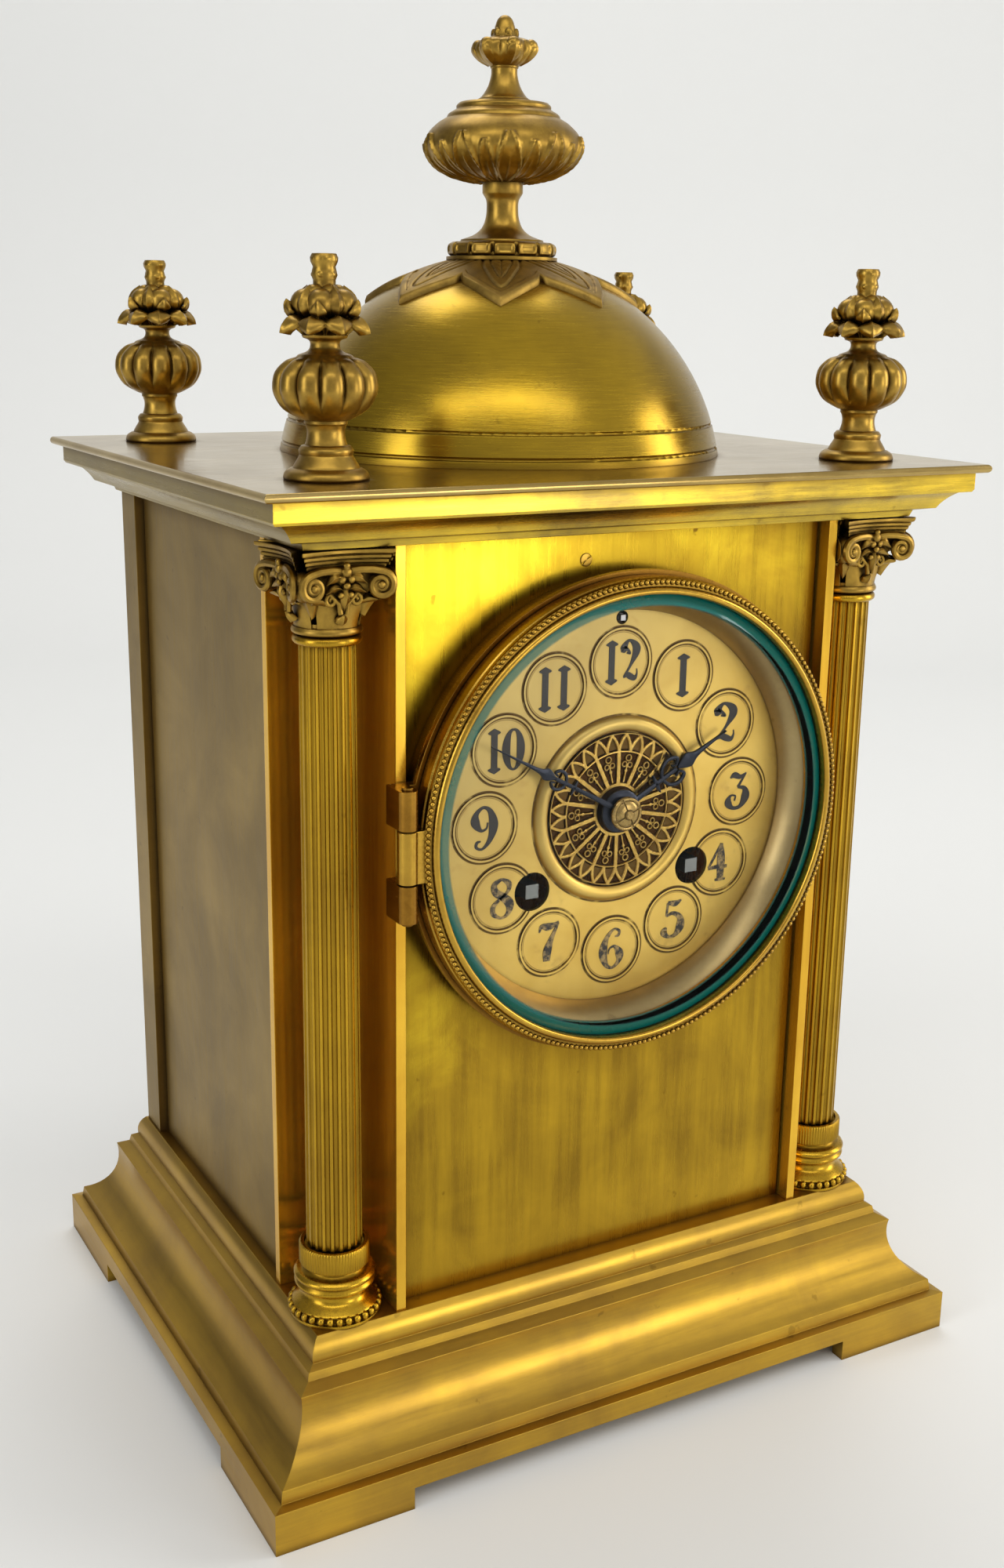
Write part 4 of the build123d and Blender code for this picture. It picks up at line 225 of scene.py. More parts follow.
def brass(name, bright, dull, deep, roughness, brushed=(1, 1, 1), blotch=40, dirt_and_shade_reach=3.0, dirt_and_shade_share=0.8, edge=0.35,
          front=0.0, speck=0.3, bump=0.25, metallic=1.0):
    """Lacquered brass: blotched tarnish, brush lines along an axis, grime and painted shade in the corners, rubbed
    edges, and painted light on faces turned to the front.
    """
    made, start = finish(name)
    place = start.node("TexCoord", {}, {}, "Object")
    patches = place.cloud(blotch, detail=6, roughness=0.6, twist=0.4).ramp(0.36, 0.66)
    fine = place.cloud(GRAIN)
    lines = place.cloud(BRUSH, brushed)
    specks = place.cloud(SPOT, detail=3, roughness=0.5).ramp(0.70, 0.74) * speck
    # Darker in the corners, out to a reach in millimetres: partly grime and browned lacquer, partly painted shade.
    corner = in_corners(start, dirt_and_shade_reach)
    softened = start.node("Bevel", {"samples": 4}, {"Radius": edge / 1000})
    flat = start.node("NewGeometry", {}, {}, "Normal")
    rubbed = softened.dot(flat).ramp(0.995, 0.93) * fine.ramp(0.35, 0.6)
    # Painted light: faces turned to the front are painted lighter than the others, by the share given as front.
    facing = flat.along("Y").ramp(-0.25, -0.75) * front + (1 - front)
    tone = (patches * 0.65 + lines.ramp(0.3, 0.7) * 0.35) * facing
    colour = (corner * dirt_and_shade_share).blend(tone.blend(dull, bright), deep)
    colour = (rubbed * 0.5).blend(specks.blend(colour, deep), bright)
    rough = lines.ramp(0.25, 0.75, roughness - 0.06, roughness + 0.07) + corner * 0.15 + (1 - tone) * 0.05
    scratches = lines * LINE_SHARE + fine * GRAIN_SHARE
    normal = start.node("Bump", {}, {"Strength": bump, "Distance": SCRATCH_DEPTH, "Height": scratches,
                                     "Normal": softened})
    close(start, colour, rough, metallic, Normal=normal)
    return made


def dress(material, *names):
    """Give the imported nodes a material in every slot."""
    for name in names:
        mesh = nodes[name].data
        mesh.materials.clear()
        mesh.materials.append(material)


# The base's front faces are painted lighter than its sides as painted light, by a front share of 0.35.
case_brass = brass("case_brass", (0.62, 0.38, 0.045), (0.36, 0.215, 0.04), (0.07, 0.03, 0.008), 0.30,
                   brushed=(0.05, 0.05, 1), front=0.35)
dress(case_brass, "base_moulding", "base_board")


# Case sheets: rolled brass, brushed upright and let into channels of the same sheet at the back corners. The
# sides are dull and olive, and painted darker still as painted shade. The front has a painted highlight towards
# the top left, with blotches, is stained in upright streaks below the dial, and has painted shade in its corners.
# The sides' brass is a darker copy: dull and olive, and darker still as painted shade on sides that get less light.
side_brass = brass("side_brass", (0.36, 0.235, 0.055), (0.20, 0.13, 0.035), (0.09, 0.05, 0.02), 0.38,
                   brushed=(1, 1, 0.03), dirt_and_shade_reach=6.0)
dress(side_brass, "side_panel_left", "side_panel_right", "rear_posts")

PANEL_FOOT, PANEL_STAIN = 0.052, 0.075
STREAKED, HIGHLIGHT_FROM = 0.19, 0.34
panel_brass, start = finish("panel_brass")
place = start.node("TexCoord", {}, {}, "Object")
height = place.along("Z")
blotches = place.cloud(24, detail=6, roughness=0.6, twist=0.6).ramp(0.34, 0.68)
streaks = place.cloud(5, (1, 1, 0.06), detail=6, roughness=0.65).ramp(0.36, 0.66)
lines = place.cloud(1.1, (1, 1, 0.03))
spots = place.cloud(7, detail=3, roughness=0.5).ramp(0.72, 0.76) * 0.4
# Painted highlight: the panel is painted bright towards the top left, over the upright stain lower down.
upper = (height + blotches * 0.04 - place.along("X")).ramp(STREAKED, HIGHLIGHT_FROM)
low_tone = (streaks * 0.6 + blotches * 0.4).blend((0.25, 0.145, 0.015), (0.50, 0.31, 0.022))
highlight_tone = blotches.blend((0.80, 0.53, 0.025), (1.0, 0.74, 0.04))
foot = height.ramp(PANEL_STAIN, PANEL_FOOT) * blotches.ramp(0, 1, 0.3, 0.8)
colour = foot.blend(upper.blend(low_tone, highlight_tone), (0.62, 0.38, 0.03))
shadowed = in_corners(start, 16, 0.35, 0.98, samples=8)
colour = (shadowed * 0.85 + spots).blend(colour, (0.10, 0.045, 0.006))
grain = start.node("Bump", {}, {"Strength": 0.2, "Distance": 0.00008, "Height": lines})
close(start, colour, lines.ramp(0.25, 0.75, 0.20, 0.30) + streaks * 0.08, Normal=grain)
dress(panel_brass, "front_panel")


# Niche strips: brass strip bent to a right angle behind each column, with one leg beside the panel, polished
# and lacquered. They look dark orange where they see only each other.
niche_brass = brass("niche_brass", (0.90, 0.54, 0.05), (0.66, 0.35, 0.03), (0.28, 0.11, 0.01), 0.14,
                    brushed=(1, 1, 0.04), dirt_and_shade_share=0.4, bump=0.1, speck=0.1, metallic=0.88)
dress(niche_brass, "niche_angles")


# Cornice and top plate: lengths of drawn brass moulding, mitred round the case, carry a flat plate with a
# rounded nose. Dusting has polished the plate, and the moulding has a painted highlight on its front only.
top_brass = brass("top_brass", (0.50, 0.36, 0.13), (0.33, 0.22, 0.06), (0.09, 0.04, 0.01), 0.15,
                  brushed=(0.08, 1, 1), bump=0.1)
# Painted highlight: the moulding's front faces take the bright colour, and its other faces the dull one.
cornice_brass = brass("cornice_brass", (1.0, 0.69, 0.06), (0.25, 0.18, 0.055), (0.08, 0.035, 0.01), 0.24,
                      brushed=(0.05, 0.05, 1), front=0.88)
dress(cornice_brass, "cornice_moulding")
dress(top_brass, "top_plate")


# Columns: a turned brass base with a rim of beads and a knurled ring, under a fluted shaft drawn thinner towards
# its top. Base, shaft and capital are threaded on one rod, between the base moulding and the cornice.
def flow(knots, fine=5):
    """A flowing line through knots, with some steps from each knot to the next."""
    knots = np.array(knots, float)
    if len(knots) == 2:
        return knots
    held = np.vstack([2 * knots[:1] - knots[1:2], knots, 2 * knots[-1:] - knots[-2:-1]])
    t = np.arange(fine)[:, None] / fine
    line = [
        0.5 * (2 * b + (c - a) * t + (2 * a - 5 * b + 4 * c - d) * t**2 + (3 * b - a - 3 * c + d) * t**3)
        for a, b, c, d in zip(held, held[1:], held[2:], held[3:])
    ]
    return np.vstack([*line, knots[-1:]])


def smooth(points, fine=5):
    """A flowing line through points, with a sharp corner at each point that has a third value."""
    line, run = [], []
    for point in points:
        run.append(point[:2])
        if len(run) > 1 and (len(point) > 2 or point is points[-1]):
            line.append(flow(run, fine)[:-1])
            run = run[-1:]
    return np.vstack([*line, run])


def unit(rows):
    """Each row drawn out to a length of one."""
    return rows / (np.linalg.norm(rows, axis=1)[:, None] + 1e-12)


def share(value):
    """A value kept between 0 and 1."""
    return np.clip(value, 0, 1)


def soft_line(distance, half):
    """A line that is 1 where the distance from it is 0 and fades over about twice a half width."""
    return np.exp(-((distance / half) ** 2))


def sector(angle, count, shift=0.0):
    """Where an angle falls in its one of some equal sectors, from -0.5 through 0 in the middle to 0.5."""
    return (angle / (2 * np.pi) * count + shift) % 1 - 0.5


def capped(rings, ends=None):
    """A closed shell over a stack of rings. Each end closes on its middle or on a point of its own."""
    rings = np.asarray(rings, float)
    rows, columns = rings.shape[:2]
    low, high = rows * columns, rows * columns + 1
    ends = [rings[0].mean(0), rings[-1].mean(0)] if ends is None else ends
    after = [(j + 1) % columns for j in range(columns)]
    faces = [(low, after[j], j) for j in range(columns)]
    for first in range(0, low - columns, columns):
        faces += [(first + j, first + after[j], first + columns + after[j], first + columns + j)
                  for j in range(columns)]
    faces += [(high, low - columns + j, low - columns + after[j]) for j in range(columns)]
    return np.vstack([rings.reshape(-1, 3), ends]), faces


def turned(line, facets, relief=None):
    """Lathe work: a (radius, height) line from axis to axis, turned, with carving that stands off its surface."""
    angle = np.arange(facets) * 2 * np.pi / facets
    run = unit(np.gradient(line, axis=0))
    lift = relief(angle, line[:, 1:]) if relief else 0
    radius = line[:, :1] + run[:, 1:] * lift + np.zeros(facets)
    height = line[:, 1:] - run[:, :1] * lift + np.zeros(facets)
    form = np.stack([radius * np.cos(angle), radius * np.sin(angle), height], 2)
    return capped(form[1:-1], [(0, 0, line[0, 1]), (0, 0, line[-1, 1])])


def ball(centre, radii, facets=12, rows=9):
    """A bead or berry."""
    rise = np.linspace(-np.pi / 2, np.pi / 2, rows)
    points, faces = turned(np.stack([np.cos(rise), np.sin(rise)], 1), facets)
    return points * radii + centre, faces


def strand(path, radii, facets=8, face=(0, -1, 0)):
    """A round rod along a path."""
    path = np.asarray(path, float)
    ahead = unit(np.gradient(path, axis=0))
    out = unit(np.array(face, float) - ahead * (ahead @ np.array(face, float))[:, None])
    side = np.cross(ahead, out)
    angle = np.arange(facets) * 2 * np.pi / facets
    across = side[:, None] * np.cos(angle)[:, None] + out[:, None] * np.sin(angle)[:, None]
    return capped(path[:, None] + np.broadcast_to(radii, len(path))[:, None, None] * across)


def leaf(spine, width, thickness, crown, vein, facing, across=11, fine=3):
    """A cast leaf: its midrib with half widths, how far it is domed, and its vein."""
    line = flow(np.column_stack([spine, width]), fine)
    spine, width = line[:, :3], line[:, 3:]
    ahead = unit(np.gradient(spine, axis=0))
    side = unit(np.cross(ahead, np.array(facing, float)))
    out = np.cross(side, ahead)
    place = np.linspace(-1, 1, across)
    rise = crown * (1 - place**2) + vein * soft_line(place, 0.2) - 0.4 * thickness * place**4
    front = spine[:, None] + side[:, None] * (width * place)[..., None] + out[:, None] * rise[:, None]
    back = front - out[:, None] * thickness
    return capped(np.concatenate([front, back[:, ::-1]], 1))


def moved(shell, turn=0.0, shift=(0, 0, 0), mirror=False):
    """A copy of a shell, turned about the upright axis in degrees and then shifted."""
    points, faces = shell
    a = math.radians(turn)
    spin = np.array([[math.cos(a), math.sin(a), 0], [-math.sin(a), math.cos(a), 0], [0, 0, 1]])
    return points * ((-1, 1, 1) if mirror else (1, 1, 1)) @ spin + shift, faces


def ringed(shells, count, first=0.0):
    """Copies of some shells, spaced evenly round the upright axis."""
    return [moved(shell, first + 360 * k / count) for k in range(count) for shell in shells]


def piece(name, shells, body, slot, material, *replaced, crease=40):
    """Make an object from closed shells in millimetres, dress it and set it on its body."""
    made = bpy.data.meshes.new(name)
    firsts = np.cumsum([0] + [len(points) for points, _ in shells])
    faces = [tuple(i + first for i in face) for first, (_, sides) in zip(firsts, shells) for face in sides]
    made.from_pydata(np.vstack([points for points, _ in shells]) / 1000, [], faces)
    form = bmesh.new()
    form.from_mesh(made)
    bmesh.ops.recalc_face_normals(form, faces=form.faces)
    form.to_mesh(made)
    form.free()
    made.shade_smooth()
    made.set_sharp_from_angle(angle=math.radians(crease))
    made.materials.append(material)
    thing = bpy.data.objects.new(name, made)
    scene.collection.objects.link(thing)
    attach(thing, body)
    if replaced:
        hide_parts(*replaced)


COLUMNS = [(-88.0, -66.0), (88.0, -66.0)]
LEDGE = 50.0
RIM_BEADS = 30
RIM_BEAD = ((12.95, 0, 2.0), (1.1, 1.15, 1.35))
KNURLS, KNURL_DEPTH = 72, 0.18
KNURL_LOW, KNURL_HIGH = 15.8, 21.6
column_brass = brass("column_brass", (0.60, 0.365, 0.025), (0.36, 0.205, 0.02), (0.07, 0.03, 0.005), 0.24,
                     brushed=(1, 1, 0.05), dirt_and_shade_reach=2.0)
dress(column_brass, "column_shafts")
cast_brass = brass("cast_brass", (0.46, 0.285, 0.05), (0.25, 0.15, 0.03), (0.04, 0.018, 0.005), 0.32,
                   blotch=9, dirt_and_shade_reach=2.4, dirt_and_shade_share=0.95, edge=0.3)
base_line = smooth([
    (0, 0, 1), (13.6, 0, 1), (13.6, 0.8, 1), (12.5, 1.0, 1), (12.5, 2.8, 1), (12.7, 3.2), (11.6, 4.2), (9.9, 5.6),
    (9.4, 7.2), (9.8, 8.3, 1), (10.6, 8.4, 1), (11.6, 9.0), (11.9, 9.9), (11.4, 10.8, 1), (11.2, 11.1, 1),
    (11.9, 11.6), (12.0, 12.5), (11.2, 13.4, 1), (9.8, 13.8), (9.0, 14.6), (9.2, 15.4, 1), (10.1, 15.5, 1),
    (10.2, 15.9, 1), (10.2, 21.5, 1), (9.9, 22.0, 1), (8.9, 22.0, 1), (8.7, 20.9, 1), (0, 20.9, 1)])


def knurl(angle, height):
    """Upright ridges rolled into the ring under the shaft."""
    return KNURL_DEPTH * np.sin(KNURLS * angle) * ((height > KNURL_LOW) & (height < KNURL_HIGH))


column_base = [turned(base_line, 4 * KNURLS, knurl), *ringed([ball(*RIM_BEAD, 10, 8)], RIM_BEADS)]
piece("column_base_turnings", [moved(shell, shift=(x, y, LEDGE)) for x, y in COLUMNS for shell in column_base],
      "case", "cast_brass", column_brass, "column_bases", crease=50)


# Capitals: cast brass, chased. A plain bell rises from a ring to a stepped slab with hollow sides. A strap runs
# under the slab to a scroll at each corner, with a flower at the middle of each side and leaves below.
SIDE_SAG, CORNER_CUT, SIDE_STEPS = 2.4, 2.2, 9
SCROLL_START = 80
SCROLL_EYE = 0.16
BELL_FOOT, BELL_TOP, BELL_RINGS = 2.3, 19.4, 18
BELL_R, BELL_HALF = 8.9, 12.9
CAPITAL_FOOT = 252.0
NICHE_WALL = 73.9


def hollow_square(half, height):
    """A ring of points round a square with hollow sides and cut corners."""
    reach = np.linspace(-1, 1, SIDE_STEPS)
    side = np.stack([half - SIDE_SAG * (1 - reach**2), (half - CORNER_CUT) * reach, height + 0 * reach], 1)
    return np.vstack([moved((side, []), -90 * k)[0] for k in range(4)])


def scroll(centre, size, turns, depth, lead, rod, taper):
    """A strap that ends in a flat spiral, on the front of the capital."""
    angle = np.linspace(math.radians(SCROLL_START), math.radians(SCROLL_START - 360 * turns), int(22 * turns))
    reach = np.linspace(size, size * SCROLL_EYE, len(angle))
    flat = [*lead, *zip(centre[0] + reach * np.cos(angle), centre[1] + reach * np.sin(angle))]
    return strand([(x, depth(x), z) for x, z in flat], np.linspace(rod, taper, len(flat)))


def side_depth(x):
    """How far forward the scrolls stand, a little further towards the corners."""
    return -11.9 - 0.2 * abs(x)


ring_line = smooth([
    (0, 0, 1), (8.0, 0, 1), (9.3, 0.5), (9.6, 1.3), (9.2, 2.3, 1), (8.6, 2.5, 1), (8.6, 3.5, 1), (0, 3.5, 1)])
bell = []
for height in np.linspace(BELL_FOOT, BELL_TOP, BELL_RINGS):
    square = hollow_square(BELL_HALF, height)
    spread = ((height - BELL_FOOT) / (BELL_TOP - BELL_FOOT)) ** 1.5
    round_ring = square * (BELL_R / np.hypot(square[:, 0], square[:, 1])[:, None] * (1, 1, 0) + (0, 0, 1))
    bell.append(round_ring * (1 - spread) + square * spread)
slab = [hollow_square(half, height) for half, height in (
    (12.6, 18.6), (13.3, 18.8), (13.4, 19.5), (13.0, 19.7), (13.8, 20.0), (13.9, 20.7), (13.5, 20.9), (14.3, 21.2),
    (14.4, 21.9), (14.0, 22.1), (14.9, 22.4), (15.2, 22.7), (15.2, 23.5))]
FRONT = (0, -1, 0)
half_side = [
    scroll((9.5, 14.2), 3.6, 1.8, side_depth, [(1.0, 18.0), (4.0, 18.4), (7.4, 18.3)], 1.15, 0.6),
    scroll((3.5, 10.4), 1.7, 1.3, lambda x: -11.0, [(0.8, 6.6), (1.2, 9.4)], 0.7, 0.45),
    ball((9.5, -12.9, 14.2), (3.3, 1.3, 3.3)),
    ball((9.5, -14.3, 14.2), (1.1, 0.8, 1.1), 8, 7),
    leaf([(0.8, -12.4, 16.8), (3.2, -13.4, 16.6), (5.6, -12.9, 14.8)], [0.7, 1.5, 0.3], 0.9, 0.5, 0.3, FRONT),
    leaf([(0.6, -11.8, 13.2), (2.8, -12.6, 13.9), (5.6, -12.4, 12.4)], [0.6, 1.3, 0.3], 0.9, 0.5, 0.3, FRONT),
    leaf([(4.6, -10.4, 9.2), (6.8, -11.4, 10.6), (9.2, -11.8, 10.0)], [0.4, 1.1, 0.3], 0.8, 0.5, 0.2,
         (0, -1, 0.3)),
    ball((1.3, -13.2, 16.0), (1.1, 0.9, 1.1), 8, 7),
    ball((1.4, -12.6, 11.9), (0.9, 0.8, 0.9), 8, 7),
]
side_work = [moved(shell, mirror=mirror) for mirror in (False, True) for shell in half_side]
side_work += [
    ball((0, -13.0, 17.9), (1.6, 1.3, 1.5)),
    ball((0, -13.3, 19.6), (1.0, 0.9, 1.0)),
    ball((0, -13.2, 14.4), (1.1, 1.0, 1.0)),
    leaf([(0, -12.4, 13.4), (0, -12.6, 11.0), (0, -11.2, 8.6), (0, -10.4, 7.4)], [0.8, 1.5, 0.9, 0.3],
         0.9, 0.6, 0.3, FRONT),
    leaf([(0, -9.6, 4.0), (0, -10.6, 5.2), (0, -11.0, 6.6)], [1.6, 1.4, 0.3], 0.8, 0.5, 0.4, FRONT),
]
corner_work = [
    ball((11.3, 11.3, 14.4), (3.0, 3.0, 4.0), 16, 13),
    leaf([(7.0, 7.0, 5.6), (8.2, 8.2, 8.4), (9.4, 9.4, 10.6)], [0.6, 1.7, 1.5], 1.2, 0.6, 0.4, (0.7, 0.7, 0)),
]
capital = [turned(ring_line, 64), capped(bell), capped(slab), *ringed(side_work, 4), *ringed(corner_work, 4)]
capitals = []
for x, y in COLUMNS:
    for points, faces in (moved(shell, shift=(x, y, CAPITAL_FOOT)) for shell in capital):
        inner = np.maximum(np.abs(points[:, 0]), NICHE_WALL) * math.copysign(1, x)
        capitals.append((np.column_stack([inner, points[:, 1:]]), faces))
piece("column_capital_castings", capitals, "case", "cast_brass", cast_brass, "column_capitals")


# Finials: one at each corner of the top plate, cast in brass and held by a screw from below. A ribbed melon on a
# turned stem carries drooping leaves, a cluster of fruit and a knotted stalk.
DECK = 292.4
FINIALS = [(x, y) for x in (-88.0, 88.0) for y in (-67.0, 67.0)]
FINIAL_TURN = 31
MELON_RIBS = 12
VALLEY_DEPTH = 1.9
stem_line = smooth([
    (0, 0, 1), (11.0, 0, 1), (11.2, 0.7), (10.7, 2.0), (9.4, 2.9, 1), (8.7, 3.0, 1), (8.3, 3.9), (7.2, 5.7),
    (6.9, 6.3, 1), (7.0, 6.5, 1), (7.1, 7.6), (6.4, 8.6, 1), (5.5, 8.8, 1), (5.0, 10.6), (4.9, 12.4), (5.3, 13.9, 1),
    (5.6, 14.2, 1), (5.6, 15.0, 1), (7.2, 15.6), (11.0, 17.8), (13.2, 21.2), (13.6, 24.0), (12.8, 27.2),
    (10.2, 29.8), (7.4, 30.8, 1), (6.9, 31.3, 1), (4.6, 32.2), (3.8, 33.4), (4.0, 34.8), (5.6, 35.5, 1),
    (5.9, 36.1, 1), (5.4, 36.8), (4.4, 38.0, 1), (3.8, 44.0), (2.5, 49.0, 1), (0, 49.0, 1)])
KNOT_HEIGHTS = (44, 47.5, 48.5, 49.6, 50.8, 51.6, 52.8, 54.0, 55.0, 56.0)
KNOT_RADII = (3.4, 3.3, 2.9, 2.9, 3.4, 3.2, 2.9, 3.5, 3.6, 3.1)


def ribs(angle, height):
    """Valleys between the melon's ribs, which run out towards the foot and the collar."""
    reach = share((height - 16.2) / 5.0) * share((30.9 - height) / 1.6)
    return -VALLEY_DEPTH * (1 - np.abs(np.sin(MELON_RIBS / 2 * angle)) ** 0.55) * reach


drooping_leaf = leaf([(3.6, 0, 36.8), (6.4, 0, 39.2), (9.0, 0, 39.6), (10.6, 0, 37.9), (11.0, 0, 36.4)],
                     [2.2, 3.5, 3.7, 2.4, 0.5], 1.1, 0.9, 0.5, (0.5, 0, 1))
low_fruit = [
    ball((4.9, 0, 43.8), (3.8, 3.7, 3.7), 16, 13),
    leaf([(6.0, 0, 40.4), (9.0, 0, 41.4), (9.6, 0, 43.4), (9.0, 0, 44.6)], [1.4, 2.2, 1.3, 0.3], 0.7, 0.4, 0.4,
         (1, 0, 0.3)),
]
high_fruit = [
    leaf([(4.2, 0, 40.4), (7.6, 0, 42.6), (7.0, 0, 45.6), (4.4, 0, 47.6)], [1.4, 2.1, 1.8, 0.5], 0.9, 0.6, 0.4,
         (1, 0, 0.4)),
    ball((3.2, 0, 46.4), (2.6, 2.6, 2.2)),
]
finial = [
    turned(stem_line, 192, ribs),
    *ringed([drooping_leaf], 8),
    *ringed(low_fruit, 5, 20),
    *ringed(high_fruit, 5, 56),
    strand([(0, 0, z) for z in KNOT_HEIGHTS], KNOT_RADII, 9, face=(1, 0, 0)),
    *ringed([ball((2.5, 0, 50.9), (0.9, 1.1, 0.8), 8, 6)], 5, 10),
    *ringed([ball((2.6, 0, 54.6), (1.0, 1.2, 0.9), 8, 6)], 5, 40),
]
for number, (x, y) in enumerate(FINIALS):
    replaced = ["corner_finials"] if number == 0 else []
    piece(f"finial_casting_{number + 1}", [moved(shell, FINIAL_TURN * number, (x, y, DECK)) for shell in finial],
          "case", "cast_brass", cast_brass, *replaced)


# Leaf collar: a brass casting of eight pointed leaves that lies on the dome under the urn, held by the urn's
# stud. Each leaf has a flat rim round a sunk field, and a pointed arch with a veined bud is engraved in it.
DOME_CENTRE, DOME_R = 280.6, 69.6
LEAVES = 8
COLLAR_TURN = 15.8
COLLAR_HOLE_R, LEAF_ROOT_R, LEAF_LENGTH = 13.0, 31.6, 10.4
COLLAR_THICK, FIELD_DEPTH, ENGRAVING_DEPTH, RIM_ROUND = 1.75, 0.5, 0.55, 0.9
COLLAR_UNDER = -0.1
around = np.linspace(0, 2 * np.pi, 512, endpoint=False)
off_middle = np.abs(sector(around, LEAVES))
outline = LEAF_ROOT_R + LEAF_LENGTH * (1 - off_middle * 2) ** 1.18 - 1.4 * soft_line(off_middle - 0.5, 0.03)
collar_r = COLLAR_HOLE_R + (outline - COLLAR_HOLE_R) * np.linspace(0, 1, 64)[:, None]
aside = collar_r * off_middle * 2 * np.pi / LEAVES
inside = (outline - collar_r) * 0.72
arch_half = 5.6 * share((36.0 - collar_r) / 13.0) ** 0.55
bud_half = 3.2 * share((31.0 - collar_r) / 11.0) ** 0.6
engraved = soft_line(aside - arch_half, 0.45) * (collar_r < 36.4)
engraved += 0.8 * soft_line(aside - bud_half, 0.3) * (collar_r < 31.2)
engraved += 0.5 * soft_line(aside, 0.22) * (collar_r < 30.0)
engraved += 0.35 * soft_line((aside * 1.3 + collar_r) % 3.2 - 1.6, 0.3) * (aside < bud_half)
collar_lift = (COLLAR_THICK - FIELD_DEPTH * share((inside - 2.0) / 0.5) - ENGRAVING_DEPTH * share(engraved)
               - RIM_ROUND * share(1 - inside / 0.35))
collar_angle = around + math.radians(COLLAR_TURN) + np.pi / LEAVES


def on_dome(reach, lift):
    """Points on the dome at a distance from its axis, raised off its surface."""
    rise = DOME_CENTRE + np.sqrt((DOME_R + lift) ** 2 - reach**2)
    return np.stack([reach * np.cos(collar_angle), reach * np.sin(collar_angle), rise], -1)


collar_rings = np.concatenate([on_dome(collar_r[:1], COLLAR_UNDER), on_dome(collar_r, collar_lift),
                               on_dome(collar_r[-1:], COLLAR_UNDER)])
# A darker, rougher copy of the cast brass: its darker colour is painted shade that tones down a lamp's highlight
# here.
collar_brass = brass("collar_brass", (0.40, 0.255, 0.055), (0.22, 0.135, 0.03), (0.04, 0.018, 0.005), 0.42,
                     blotch=6, dirt_and_shade_reach=1.6, dirt_and_shade_share=0.95, edge=0.3, bump=0.9)
piece("leaf_collar_casting", [capped(collar_rings)], "case", "cast_brass", collar_brass, "leaf_collar")


# Urn: three brass castings, turned and held on the dome by one stud. The foot has a ring of square cells, the
# bowl two rows of pointed leaves in relief, and the bud six petals that curl outwards.
SEAT = 349.5
FOOT_TALL = 22.9
CELLS = 14
GAP_DEPTH, CELL_DEPTH = 1.3, 0.45
foot_line = smooth([
    (0, 0, 1), (17.0, 0, 1), (17.0, 1.0, 1), (15.6, 1.2, 1), (16.4, 1.8), (16.7, 3.3), (16.3, 4.6), (15.2, 5.3, 1),
    (12.8, 5.5, 1), (12.5, 6.1, 1), (11.4, 6.4), (8.4, 7.6), (6.2, 9.6), (5.1, 12.4), (4.8, 15.4), (5.0, 17.6),
    (5.9, 19.2, 1), (6.15, 19.6, 1), (6.15, 22.7, 1), (5.9, FOOT_TALL, 1), (0, FOOT_TALL, 1)])


def cells(angle, height):
    """Square cells with raised borders round the foot."""
    off_middle = np.abs(sector(angle, CELLS)) * 2
    band = share((height - 1.3) / 0.3) * share((5.2 - height) / 0.3)
    inside = share((0.62 - off_middle) / 0.1) * share((height - 2.1) / 0.4) * share((4.6 - height) / 0.4)
    return -band * (GAP_DEPTH * share((off_middle - 0.86) / 0.08) + CELL_DEPTH * inside)


piece("urn_foot_casting", [moved(turned(foot_line, 280, cells), shift=(0, 0, SEAT))], "case", "cast_brass",
      cast_brass, "urn_foot")
BOWL = SEAT + FOOT_TALL
BOWL_TALL = 23.3
BOWL_LEAVES, BOWL_TURN = 10, 12
LEAF_START, LEAF_RUN = 6.0, 25.0
BOWL_ROWS = ((0.0, 1.0, 0.95, 0.46), (0.5, 0.90, 0.70, 0.30))
bowl_line = smooth([
    (0, 0, 1), (6.6, 0, 1), (10.5, 0.6), (16.0, 2.0), (20.6, 4.6), (23.2, 8.0), (23.7, 10.6), (22.6, 13.6),
    (20.0, 16.2), (17.8, 17.6, 1), (17.2, 17.8, 1), (16.6, 19.0), (14.6, 20.2, 1), (14.2, 20.5, 1), (14.2, 21.4),
    (13.4, 22.2, 1), (8.6, 22.9), (7.9, BOWL_TALL, 1), (0, BOWL_TALL, 1)], 8)
bowl_run = np.concatenate([[0], np.cumsum(np.hypot(*np.diff(bowl_line, axis=0).T))])


def bowl_leaves(angle, height):
    """Leaf outlines and midribs that stand proud of the lower half of the bowl."""
    along = (np.interp(height, bowl_line[:, 1], bowl_run) - LEAF_START) / LEAF_RUN
    total = 0 * angle + 0 * height
    for shift, top, proud, wide in BOWL_ROWS:
        off_middle = np.abs(sector(angle, BOWL_LEAVES, shift))
        up = share(along / top)
        half = wide * share(1 - up) ** 0.62 * share(0.25 + up * 1.5)
        edge = soft_line(off_middle - half, 0.045)
        midrib = 0.6 * soft_line(off_middle, 0.03) * (up < 0.72)
        raised = np.maximum(np.maximum(edge, midrib), 0.35 * (off_middle < half))
        total = np.maximum(total, proud * raised * (up < 0.995))
    return total * share(along * 8)


